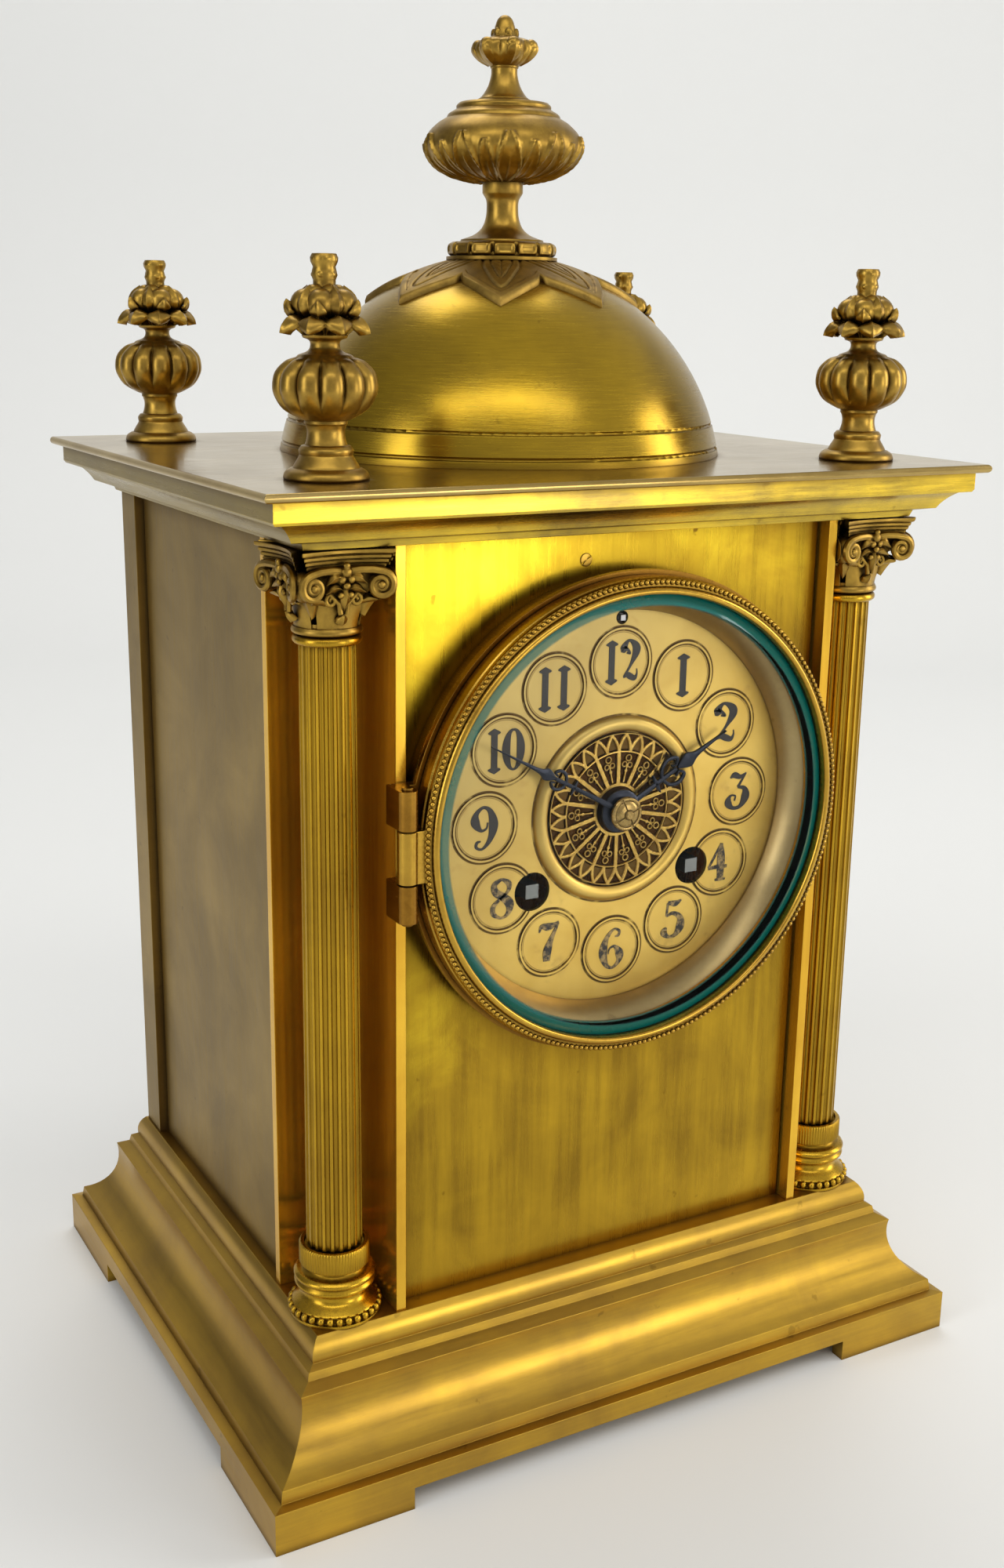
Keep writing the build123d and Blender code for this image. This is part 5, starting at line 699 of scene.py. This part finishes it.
piece("urn_bowl_casting", [moved(turned(bowl_line, 320, bowl_leaves), BOWL_TURN, (0, 0, BOWL))], "case",
      "cast_brass", cast_brass, "urn_bowl")
BUD = BOWL + BOWL_TALL
BUD_PETALS, BUD_TURN = 6, 20
bud_line = smooth([
    (0, 0, 1), (7.7, 0, 1), (6.4, 1.2), (4.9, 3.6), (4.0, 6.6), (3.9, 8.6, 1), (4.2, 8.8, 1), (4.2, 9.2, 1),
    (6.0, 10.2), (8.0, 12.1), (8.6, 14.2), (7.8, 16.0), (5.6, 16.9, 1), (4.2, 17.3), (3.4, 18.6), (2.9, 20.4),
    (2.2, 22.2), (1.1, 23.2), (0, 23.5, 1)])


def petals(angle, height):
    """Six swellings at the bud's widest part, with valleys between them."""
    return soft_line(height - 13.8, 2.4) * (1.5 * np.abs(np.cos(BUD_PETALS / 2 * angle)) ** 0.7 - 1.0)


petal = [
    ball((7.9, 0, 14.9), (1.9, 2.3, 1.8), 14, 9),
    leaf([(4.6, 0, 9.8), (7.6, 0, 11.4), (9.5, 0, 13.6), (9.0, 0, 15.6)], [0.9, 2.1, 2.0, 0.9], 0.7, 0.4, 0.3,
         (1, 0, -0.4)),
    ball((3.4, 0, 18.2), (0.9, 1.1, 1.6), 8, 7),
]
bud = [turned(bud_line, 144, petals), *ringed(petal, BUD_PETALS)]
piece("urn_bud_casting", [moved(shell, BUD_TURN, (0, 0, BUD)) for shell in bud], "case", "cast_brass", cast_brass,
      "urn_bud")


# Dome: spun from sheet brass over a former and polished in the lathe, with turned lines above its foot. It stands
# on the top plate, and the foot of the urn is bolted through its flat seat.
dome_brass = brass("dome_brass", (0.46, 0.295, 0.022), (0.25, 0.155, 0.018), (0.09, 0.04, 0.01), 0.22,
                   brushed=(0.12, 0.12, 3), dirt_and_shade_reach=4.0, blotch=70)
dress(dome_brass, "dome")


# Drum and sight ring: the drum is turned from a brass casting and screwed to the front panel from behind, and its
# grooves have kept dark lacquer, deepened by painted shade. The sight ring is a hollow moulding between the dial and
# the glass.
drum_brass = brass("drum_brass", (0.42, 0.22, 0.03), (0.20, 0.09, 0.012), (0.035, 0.013, 0.004), 0.20, dirt_and_shade_reach=4.0,
                   brushed=(1, 0.05, 1))
sight_brass = brass("sight_brass", (0.50, 0.38, 0.17), (0.34, 0.25, 0.11), (0.09, 0.05, 0.02), 0.30, dirt_and_shade_reach=2.5)
dress(drum_brass, "case_ring", "hinge_pin")
dress(sight_brass, "sight_ring")


# Dial: a matt gilt brass plate on four feet, with painted shade from the deep bezel towards the upper left and in
# its corners. The numerals are engraved inside raised rings and filled with black wax, which is worn thin on the
# lower ones.
DIAL_AT = (0.0, -74.2, 194.0)
NUMERAL_R = 44.0
RING_LINES = ((10.5, 0.30, 1.0), (9.3, 0.20, 1.0), (8.75, 0.06, 0.7))
DIAL_LINES = ((60.1, 0.10, 1.0), (28.5, 0.22, 1.0), (23.4, 0.25, 1.0))


def on_dial(shell):
    """Lay work made about the upright axis on the dial, so that its top faces the front."""
    points, faces = shell
    return np.column_stack([points[:, 0], -points[:, 2], points[:, 1]]) + DIAL_AT, faces


def dial_reach(place, turn=0.0, out=0.0):
    """How far a place is, in millimetres, from the dial's middle or from a point out on it."""
    middle = (out * math.sin(turn), 0, DIAL_AT[2] + out * math.cos(turn))
    return place.node("VectorMath", {"operation": "DISTANCE"}, {0: place.scaled((1000, 0, 1000)), 1: middle},
                      "Value")


def dark_lines(reach, lines, soft=0.12):
    """Masks for thin dark rings, each at a radius, with a half width and a strength."""
    return [abs(reach - radius).ramp(half, half + soft, 1, 0) * strength for radius, half, strength in lines]


dial_brass, start = finish("dial_brass")
place = start.node("TexCoord", {}, {}, "Object")
nearest = dial_reach(place, 0, NUMERAL_R)
for hour in range(1, 12):
    nearest = nearest.smaller(dial_reach(place, math.radians(30 * hour), NUMERAL_R))
lines, *others = dark_lines(nearest, RING_LINES) + dark_lines(dial_reach(place), DIAL_LINES)
for other in others:
    lines = lines.larger(other)
patches = place.cloud(26, detail=6, roughness=0.6, twist=0.5).ramp(0.35, 0.68)
fine = place.cloud(1.4, detail=4)
worn = place.cloud(9).ramp(0.30, 0.48)
# Painted shade: the plate is painted darker and olive towards the upper left, where the deep bezel shades it.
bezel_shade = place.dot((-0.7, 0, 0.7)).ramp(0.125, 0.18)
stain = place.cloud(7, roughness=0.65).ramp(0.60, 0.72) * 0.35
gilt = patches.blend((0.68, 0.45, 0.10), (0.84, 0.59, 0.15))
gilt = (bezel_shade * 0.7).blend(gilt, (0.36, 0.285, 0.125))
gilt = stain.blend(gilt, (0.40, 0.25, 0.08))
# Dark ring lines, worn in patches, and painted shade in the plate's corners.
gilt = (lines * worn * 0.85 + in_corners(start, 1.2) * 0.35).blend(gilt, (0.07, 0.035, 0.012))
grain = start.node("Bump", {}, {"Strength": 0.35, "Distance": 0.00006, "Height": fine})
close(start, gilt, patches.ramp(0, 1, 0.44, 0.36) + fine * 0.06, Normal=grain)
dress(dial_brass, "dial_plate")

WORN_BELOW, SOUND_ABOVE = 0.172, 0.186
wax, start = finish("numeral_wax")
place = start.node("TexCoord", {}, {}, "Object")
rubbed = place.cloud(2.2, roughness=0.75).ramp(0.46, 0.60) * place.along("Z").ramp(SOUND_ABOVE, WORN_BELOW)
black = place.cloud(4, detail=3, roughness=0.55).blend((0.012, 0.010, 0.009), (0.03, 0.024, 0.018))
close(start, (rubbed * 0.75).blend(black, (0.50, 0.34, 0.11)), 0.42, 0.0)


def pen(path, low, high, bevel=0.0):
    """One stroke of flat work, whose width swells along its path of (x, y, width) knots."""
    line = flow(path, 6)
    ahead = unit(np.gradient(line[:, :2], axis=0))
    side = np.stack([-ahead[:, 1], ahead[:, 0]], 1)
    half = line[:, 2] / 2
    inner = half - np.minimum(bevel, half / 2)
    section = ((half, low), (half, high - bevel / 2), (inner, high), (-inner, high), (-half, high - bevel / 2),
               (-half, low))
    return capped(np.stack([
        np.column_stack([line[:, :2] + side * reach[:, None], np.full(len(line), depth)])
        for reach, depth in section
    ], 1))


WAX_FOOT, WAX_TOP, WAX_STEP = -0.05, 0.10, 0.02
FIGURE_STEP = 6.2
PAIR_WIDTH = 0.74
FIGURE_HEIGHT = 1.06
six = [(1.2, 3.6, 0.3), (2.4, 3.9, 0.6), (2.6, 5.2, 0.6), (0.6, 5.8, 0.5), (-1.8, 3.4, 1.1), (-2.9, -0.6, 2.0),
       (-1.8, -4.4, 1.1), (0.4, -5.7, 0.6), (2.6, -4.2, 1.0), (3.0, -1.8, 1.9), (1.2, 0.6, 0.7), (-0.6, 0.2, 0.4),
       (-1.0, -1.4, 0.35)]
strokes = {
    "0": [[(3.2 * math.sin(t), 5.5 * math.cos(t), 0.5 + 1.4 * math.sin(t) ** 2)
           for t in np.linspace(0, 2 * math.pi, 15)]],
    "1": [[(0, -5.0, 1.5), (0, 5.0, 1.5)],
          [(0, 4.2, 0.1), (0, 5.0, 3.0), (0, 6.2, 0.1)],
          [(0, -6.2, 0.1), (0, -5.0, 3.0), (0, -4.2, 0.1)]],
    "2": [[(-1.6, 2.4, 0.4), (0.0, 2.2, 0.5), (-1.4, 3.4, 0.8), (-3.0, 3.6, 1.8), (-0.5, 5.8, 0.6), (3.0, 3.4, 2.0),
           (0.6, -0.8, 0.7), (-2.6, -4.2, 0.5)],
          [(-2.8, -4.4, 0.3), (-1.2, -3.7, 1.2), (0.6, -4.3, 1.4), (2.4, -4.8, 1.0), (3.4, -3.6, 0.4),
           (3.3, -2.2, 0.25)]],
    "3": [[(-2.8, 4.2, 0.3), (-1.2, 4.9, 1.3), (1.0, 4.2, 0.9), (3.2, 5.2, 0.3)],
          [(3.0, 5.1, 0.4), (0.2, 1.2, 0.6)],
          [(0.2, 1.2, 0.5), (2.6, 0.6, 1.0), (3.2, -1.8, 2.0), (1.4, -4.6, 0.9), (-1.4, -4.9, 0.8),
           (-3.2, -3.2, 1.7), (-2.4, -1.2, 0.5), (-0.6, -1.4, 0.4), (-0.9, -2.8, 0.35)]],
    "4": [[(1.0, 5.6, 0.5), (-1.4, 1.8, 0.6), (-3.5, -1.4, 0.5)],
          [(-3.6, -1.6, 0.6), (0.0, -1.4, 0.9), (3.4, -1.6, 0.7)],
          [(1.0, 5.6, 0.7), (1.1, 1.0, 1.9), (1.0, -5.0, 1.5)],
          [(-0.9, -5.4, 0.4), (1.0, -5.2, 0.9), (2.9, -5.4, 0.4)]],
    "5": [[(3.0, 5.6, 0.3), (0.8, 4.8, 1.3), (-1.9, 5.3, 0.7)],
          [(-1.9, 5.2, 0.6), (-2.3, 1.2, 0.5)],
          [(-2.3, 1.2, 0.4), (0.0, 1.9, 0.8), (2.6, 0.4, 1.3), (2.9, -2.4, 2.0), (1.0, -4.9, 0.9), (-1.4, -5.1, 0.7),
           (-3.1, -3.6, 1.6), (-2.2, -2.2, 0.5)]],
    "6": [six],
    "7": [[(-3.3, 3.2, 0.3), (-2.6, 4.9, 0.9), (-0.4, 4.6, 1.6), (1.6, 4.9, 1.0), (3.3, 5.7, 0.3)],
          [(3.2, 5.4, 0.5), (1.0, 1.2, 1.0), (-0.4, -2.4, 1.9), (-0.6, -5.5, 1.5)]],
    "8": [[(0, 5.6, 0.5), (-2.4, 4.2, 1.2), (-2.0, 2.0, 1.5), (0.4, 0.4, 1.6), (2.6, -1.8, 1.9), (2.2, -4.4, 1.0),
           (0, -5.6, 0.5), (-2.6, -4.2, 1.0), (-2.7, -2.0, 1.0), (-0.4, 0, 0.6), (2.0, 1.8, 0.7), (2.3, 4.0, 1.2),
           (0, 5.6, 0.5)]],
    "9": [[(-x, -y, width) for x, y, width in six]],
}
numerals = []
for hour in range(1, 13):
    figures = str(hour)
    turn = math.radians(30 * hour)
    on_ring = (NUMERAL_R * math.sin(turn), NUMERAL_R * math.cos(turn), 0)
    narrow = 1.0 if len(figures) == 1 else PAIR_WIDTH
    for index, figure in enumerate(figures):
        sideways = 0 if len(figures) == 1 else FIGURE_STEP * (index - 0.5)
        for layer, path in enumerate(strokes[figure]):
            drawn = [(x * narrow + sideways, y * FIGURE_HEIGHT, width * (1.0 + 0.5 * narrow))
                     for x, y, width in path]
            numerals.append(moved(pen(drawn, WAX_FOOT, WAX_TOP + WAX_STEP * layer), shift=on_ring))
piece("dial_numerals", [on_dial(shell) for shell in numerals], "case", "blued_steel", wax)


# Rosette: the middle of the dial, a brass disc cut and chased, then set in the raised ring of the plate. Fourteen
# spokes and a ring of pointed leaves stand bright above a brown ground.
ROSETTE_R, ROSETTE_HOLE_R = 23.2, 4.6
SPOKES = 14
HUB_R, ARCADE_R, RIM_R = 7.6, 17.5, 22.9
GROUND, RELIEF = 0.15, 0.75
rosette_r = np.linspace(ROSETTE_HOLE_R, ROSETTE_R, 110)[:, None]
rosette_angle = np.linspace(0, 2 * np.pi, 840, endpoint=False)


def from_middle(count, shift=0.0):
    """Distance sideways from the middle of the nearest of some equal sectors, in millimetres."""
    return np.abs(sector(rosette_angle, count, shift)) * 2 * np.pi / count * rosette_r


def ridge(distance, half, soft=0.16):
    """A raised line with sloped sides."""
    return share((half + soft - distance) / soft)


def between(low, high):
    """The part of the disc between two radii."""
    return (rosette_r > low) * (rosette_r < high)


spoke, gap = from_middle(SPOKES), from_middle(SPOKES, 0.5)
tip = np.abs(sector(rosette_angle, 2 * SPOKES)) * 2
arch = 1 - share((rosette_r - 17.4) / 5.2) ** 1.7
arch_width = from_middle(2 * SPOKES).max() * 0.5
reliefs = {
    "spokes": ridge(spoke, 0.58) * between(HUB_R, 18.0),
    "hub": ridge(np.abs(rosette_r - HUB_R), 0.45),
    "arcade": ridge(np.abs(rosette_r - ARCADE_R), 0.22),
    "pointed_arches": ridge(np.abs(tip - arch) * arch_width, 0.26) * between(17.4, 22.7),
    "leaves": 0.35 * (tip < arch - 0.30) * between(18.2, 21.4),
    "lancets": 0.85 * ridge(from_middle(2 * SPOKES, 0.5), 0.20) * between(8.2, 13.6),
    "upper_rings": 0.8 * ridge(np.abs(np.hypot(gap, rosette_r - 15.7) - 0.9), 0.16),
    "lower_rings": 0.8 * ridge(np.abs(np.hypot(gap - 0.95, rosette_r - 13.7) - 0.75), 0.15),
    "pearls": 0.8 * (np.hypot(gap, rosette_r - 11.8) < 0.55),
    "rim": ridge(np.abs(rosette_r - RIM_R), 0.15),
}
tracery = 0 * rosette_r + 0 * rosette_angle
for relief in reliefs.values():
    tracery = np.maximum(tracery, relief)
rosette_rings = np.stack([rosette_r * np.cos(rosette_angle), rosette_r * np.sin(rosette_angle),
                          GROUND + RELIEF * tracery], 2)
rosette_rings = np.concatenate([rosette_rings[:1] * (1, 1, 0), rosette_rings, rosette_rings[-1:] * (1, 1, 0)])
rosette_brass, start = finish("rosette_brass")
place = start.node("TexCoord", {}, {}, "Object")
proud = place.along("Y").ramp(-0.07455, -0.07500)
tarnish = place.cloud(3.0).ramp(0.35, 0.7)
colour = proud.blend(tarnish.blend((0.030, 0.013, 0.004), (0.10, 0.045, 0.012)),
                     tarnish.blend((0.66, 0.44, 0.11), (0.38, 0.22, 0.05)))
close(start, colour, proud.ramp(0, 1, 0.55, 0.26))
piece("dial_rosette", [on_dial(capped(rosette_rings))], "case", "rosette_brass", rosette_brass, "dial_centre")


# Hands: sawn from steel, filed with a bevel and blued nearly black, each on a turned collar that grips its pipe.
# A brass nut with a slotted dome holds them.
blued = brass("blued_steel", (0.045, 0.050, 0.066), (0.022, 0.024, 0.032), (0.008, 0.008, 0.010), 0.30,
              dirt_and_shade_reach=1.0, edge=0.15, speck=0.1)
HOUR_ANGLE, MINUTE_ANGLE = 61.0, 299.0
HOUR_BLADE, MINUTE_BLADE = (2.25, 3.1, 0.35), (4.25, 5.05, 0.3)


def mirrored(path):
    """A stroke and its mirror image."""
    return [path, [(-x, y, width) for x, y, width in path]]


def hand(work, angle, blade, collar):
    """A hand's strokes, turned to an angle on the dial, and its collar."""
    return [on_dial(moved(pen(path, *blade), -angle)) for path in work] + [on_dial(turned(smooth(collar), 64))]


hour_work = [
    [(0, 4, 1.9), (0, 12, 1.5), (0, 22, 1.3)],
    [(-3.0, 14, 0.4), (-1.4, 14, 1.0), (0, 14, 1.4), (1.4, 14, 1.0), (3.0, 14, 0.4)],
    *mirrored([(0.4, 16.4, 0.9), (3.0, 17.8, 1.1), (4.2, 20.8, 1.2), (2.9, 23.6, 1.0), (1.2, 22.4, 0.7),
               (1.9, 20.8, 0.6)]),
    [(0, 22.6, 0.8), (0, 26.8, 4.6), (0, 30.6, 1.7), (0, 42, 0.4)],
]
minute_work = [
    [(0, 3.4, 1.6), (0, 18, 1.2), (0, 27, 1.1)],
    [(-2.4, 20, 0.3), (-1.1, 20, 0.8), (0, 20, 1.1), (1.1, 20, 0.8), (2.4, 20, 0.3)],
    *mirrored([(0.3, 23.2, 0.7), (2.2, 24.4, 0.9), (2.8, 26.4, 0.9), (1.6, 28.0, 0.7), (1.0, 26.8, 0.5)]),
    [(0, 27.2, 0.8), (0, 30.6, 3.6), (0, 34.2, 1.3), (0, 51, 0.35)],
]
hour_collar = [(0, 2.2, 1), (6.2, 2.2, 1), (6.5, 2.5, 1), (6.5, 3.0, 1), (6.0, 3.4, 1), (0, 3.4, 1)]
minute_collar = [(0, 4.2, 1), (4.3, 4.2, 1), (4.5, 4.5, 1), (4.5, 5.1, 1), (4.2, 5.4, 1), (0, 5.4, 1)]
piece("hour_hand_blade", hand(hour_work, HOUR_ANGLE, HOUR_BLADE, hour_collar), "hour", "blued_steel", blued,
      "hour_hand")
piece("minute_hand_blade", hand(minute_work, MINUTE_ANGLE, MINUTE_BLADE, minute_collar), "minute", "blued_steel",
      blued, "minute_hand")
NUT_TURN = 25
DOME_LOW, DOME_HIGH = 6.4, 7.24
nut_line = smooth([
    (0, 5.4, 1), (5.1, 5.4, 1), (5.1, 6.1, 1), (4.7, 6.5), (4.1, 6.45, 1), (4.0, 6.2, 1), (3.9, 6.5), (3.0, 7.0),
    (1.6, 7.25, 1), (1.55, 7.0, 1), (1.3, 7.0, 1), (1.3, 7.8, 1), (1.0, 8.1, 1), (0, 8.1, 1)])


def cross_slot(angle, height):
    """The filed cross on the dome of the nut."""
    return -0.35 * (np.abs(np.sin(2 * angle)) < 0.16) * (height > DOME_LOW) * (height < DOME_HIGH)


piece("hand_nut_turning", [on_dial(moved(turned(nut_line, 160, cross_slot), NUT_TURN))], "minute", "wheel_brass",
      brass("nut_brass", (0.46, 0.32, 0.11), (0.28, 0.18, 0.06), (0.06, 0.03, 0.01), 0.26, dirt_and_shade_reach=1.0, edge=0.15),
      "hand_nut")


# Bezel: turned from a brass casting, with a bead rolled along its rim and a smooth ring inside it. It swings on a
# pin at the left, and the bevelled glass is puttied into its back.
BEZEL_BACK = 8.1
BEADS = 252
BEAD_R, BEAD_HEIGHT = 69.15, 6.15
HINGE = (-73.9, -86.0)
LUG_END, LUG_HALF = -69.2, 1.9
LUG_LOW, LUG_HIGH = DIAL_AT[2] - 8.4, DIAL_AT[2] + 6.4
bezel_brass = brass("bezel_brass", (0.60, 0.37, 0.05), (0.36, 0.20, 0.03), (0.05, 0.02, 0.005), 0.20, dirt_and_shade_reach=1.4,
                    dirt_and_shade_share=0.95, edge=0.25, brushed=(1, 0.05, 1))
bezel_line = np.array([
    (70.5, 0), (70.5, 4.2), (70.1, 4.6), (70.1, 5.4), (69.9, 5.9), (69.5, 6.1), (68.5, 6.1), (67.9, 6.1), (67.8, 6.5),
    (67.5, 7.2), (66.9, 7.6), (66.3, 7.6), (65.9, 7.3), (65.7, 6.7), (65.6, 6.0), (65.6, 4.6), (65.7, 3.9),
    (67.7, 3.9), (67.7, 1.7), (63.1, 1.7), (63.1, 0)])
bezel_angle = np.linspace(0, 2 * np.pi, 288, endpoint=False)
hoop = np.stack([bezel_line[:, :1] * np.cos(bezel_angle), bezel_line[:, :1] * np.sin(bezel_angle),
                 bezel_line[:, 1:] + BEZEL_BACK + 0 * bezel_angle], 2)
rows, facets = hoop.shape[:2]
hoop_faces = [(i * facets + j, i * facets + (j + 1) % facets, (i + 1) % rows * facets + (j + 1) % facets,
               (i + 1) % rows * facets + j) for i in range(rows) for j in range(facets)]
beads = ringed([ball((BEAD_R, 0, BEZEL_BACK + BEAD_HEIGHT), (0.78, 0.80, 0.80), 8, 7)], BEADS)
knuckle_line = smooth([(0, -8.5, 1), (2.5, -8.5, 1), (2.8, -8.2, 1), (2.8, 6.2, 1), (2.5, 6.5, 1), (0, 6.5, 1)])
lug = [[(HINGE[0], HINGE[1] - LUG_HALF, z), (LUG_END, HINGE[1] - LUG_HALF, z),
        (LUG_END, HINGE[1] + LUG_HALF, z), (HINGE[0], HINGE[1] + LUG_HALF, z)] for z in (LUG_LOW, LUG_HIGH)]
piece("bezel_turning", [on_dial((hoop.reshape(-1, 3), hoop_faces)), *map(on_dial, beads),
                        moved(turned(knuckle_line, 48), shift=(*HINGE, DIAL_AT[2])), capped(lug)],
      "bezel_door", "bezel_brass", bezel_brass, "bezel")


# Glass: thick plate with a wide ground and polished bevel, which looks sea green where the light runs along it,
# puttied into the bezel. The rear door has a plain thin pane with a haze of dust.
BEVEL_START, BEVEL_END = 62.1, 62.7
REFRACTION = 1.5
glass, start = finish("bevelled_glass")
place = start.node("TexCoord", {}, {}, "Object")
bevel = dial_reach(place).ramp(BEVEL_START, BEVEL_END)
smear = place.cloud(30, roughness=0.6).ramp(0.5, 0.8) * 0.02
close(start, bevel.blend((0.02, 0.03, 0.03), (0.0, 0.16, 0.14)), bevel.ramp(0, 1, 0.02, 0.08), 0.0,
      Alpha=bevel.ramp(0, 1, 0.05, 0.80) + smear, IOR=REFRACTION)
dress(glass, "bezel_glass")
door_glass, start = finish("door_glass")
haze = start.node("TexCoord", {}, {}, "Object").cloud(40, roughness=0.6).ramp(0.4, 0.8, 0.06, 0.16)
close(start, (0.10, 0.16, 0.14, 1), 0.03, 0.0, Alpha=haze, IOR=REFRACTION)
dress(door_glass, "rear_door_glass")


# Panel screw: one brass screw with a low slotted head, above the bezel. It goes through the front panel and helps
# to hold the drum, and it has tarnished with the panel.
SCREW_AT = (-12.0, 74.0, -1.25)
SCREW_TURN = 40
SLOT_DEPTH, SLOT_HALF, SLOT_ABOVE = 0.3, 0.2, 0.2
screw_line = smooth([(0, 0, 1), (1.9, 0, 1), (1.9, 0.2, 1), (1.6, 0.3), (0, 0.35, 1)])


def screw_slot(angle, height):
    """The slot across the head of a screw."""
    return -SLOT_DEPTH * (np.abs(np.sin(angle)) < SLOT_HALF) * (height > SLOT_ABOVE)


piece("panel_screw", [on_dial(moved(turned(screw_line, 60, screw_slot), SCREW_TURN, SCREW_AT))], "case",
      "case_brass", case_brass)


# Rear door: a narrow frame of flat brass bar, hung on its own two pins at one side, with the glass let in from
# inside and a turned knob riveted to the other side.
dress(case_brass, "rear_door_frame")
dress(cast_brass, "rear_door_knob")


# Movement: plates, pillars and wheels of hard brass, grained and lacquered, on arbors of bright steel that run in
# both plates. The bell is cast in a paler metal, and the two key squares are dull steel.
movement_brass = brass("movement_brass", (0.80, 0.60, 0.27), (0.66, 0.48, 0.20), (0.25, 0.15, 0.05), 0.24,
                       brushed=(1, 1, 0.2), speck=0.1)
dress(movement_brass, "front_plate", "back_plate", "plate_pillars", "movement_posts", "back_cock",
      "centre_wheel", "going_second_wheel", "going_barrel", "strike_barrel", "third_wheel", "escape_wheel",
      "minute_wheel", "hour_wheel", "count_arbor_wheel", "count_wheel", "pin_wheel", "locking_wheel",
      "pendulum_bob")
bell_metal = brass("bell_metal", (0.66, 0.56, 0.38), (0.50, 0.42, 0.27), (0.2, 0.14, 0.07), 0.22,
                   brushed=(1, 8, 1))
dress(bell_metal, "bell")
steel = brass("steel", (0.50, 0.50, 0.51), (0.36, 0.36, 0.37), (0.10, 0.09, 0.08), 0.28)
dress(steel, "winding_clicks", "anchor", "pendulum_rod", "cannon_pinion", "fly", "hammer", "bell_stand",
      "regulator_arbor")
key_steel = brass("key_steel", (0.27, 0.28, 0.27), (0.18, 0.19, 0.18), (0.05, 0.05, 0.04), 0.36)
dress(key_steel, "going_winding_arbor", "strike_winding_arbor")
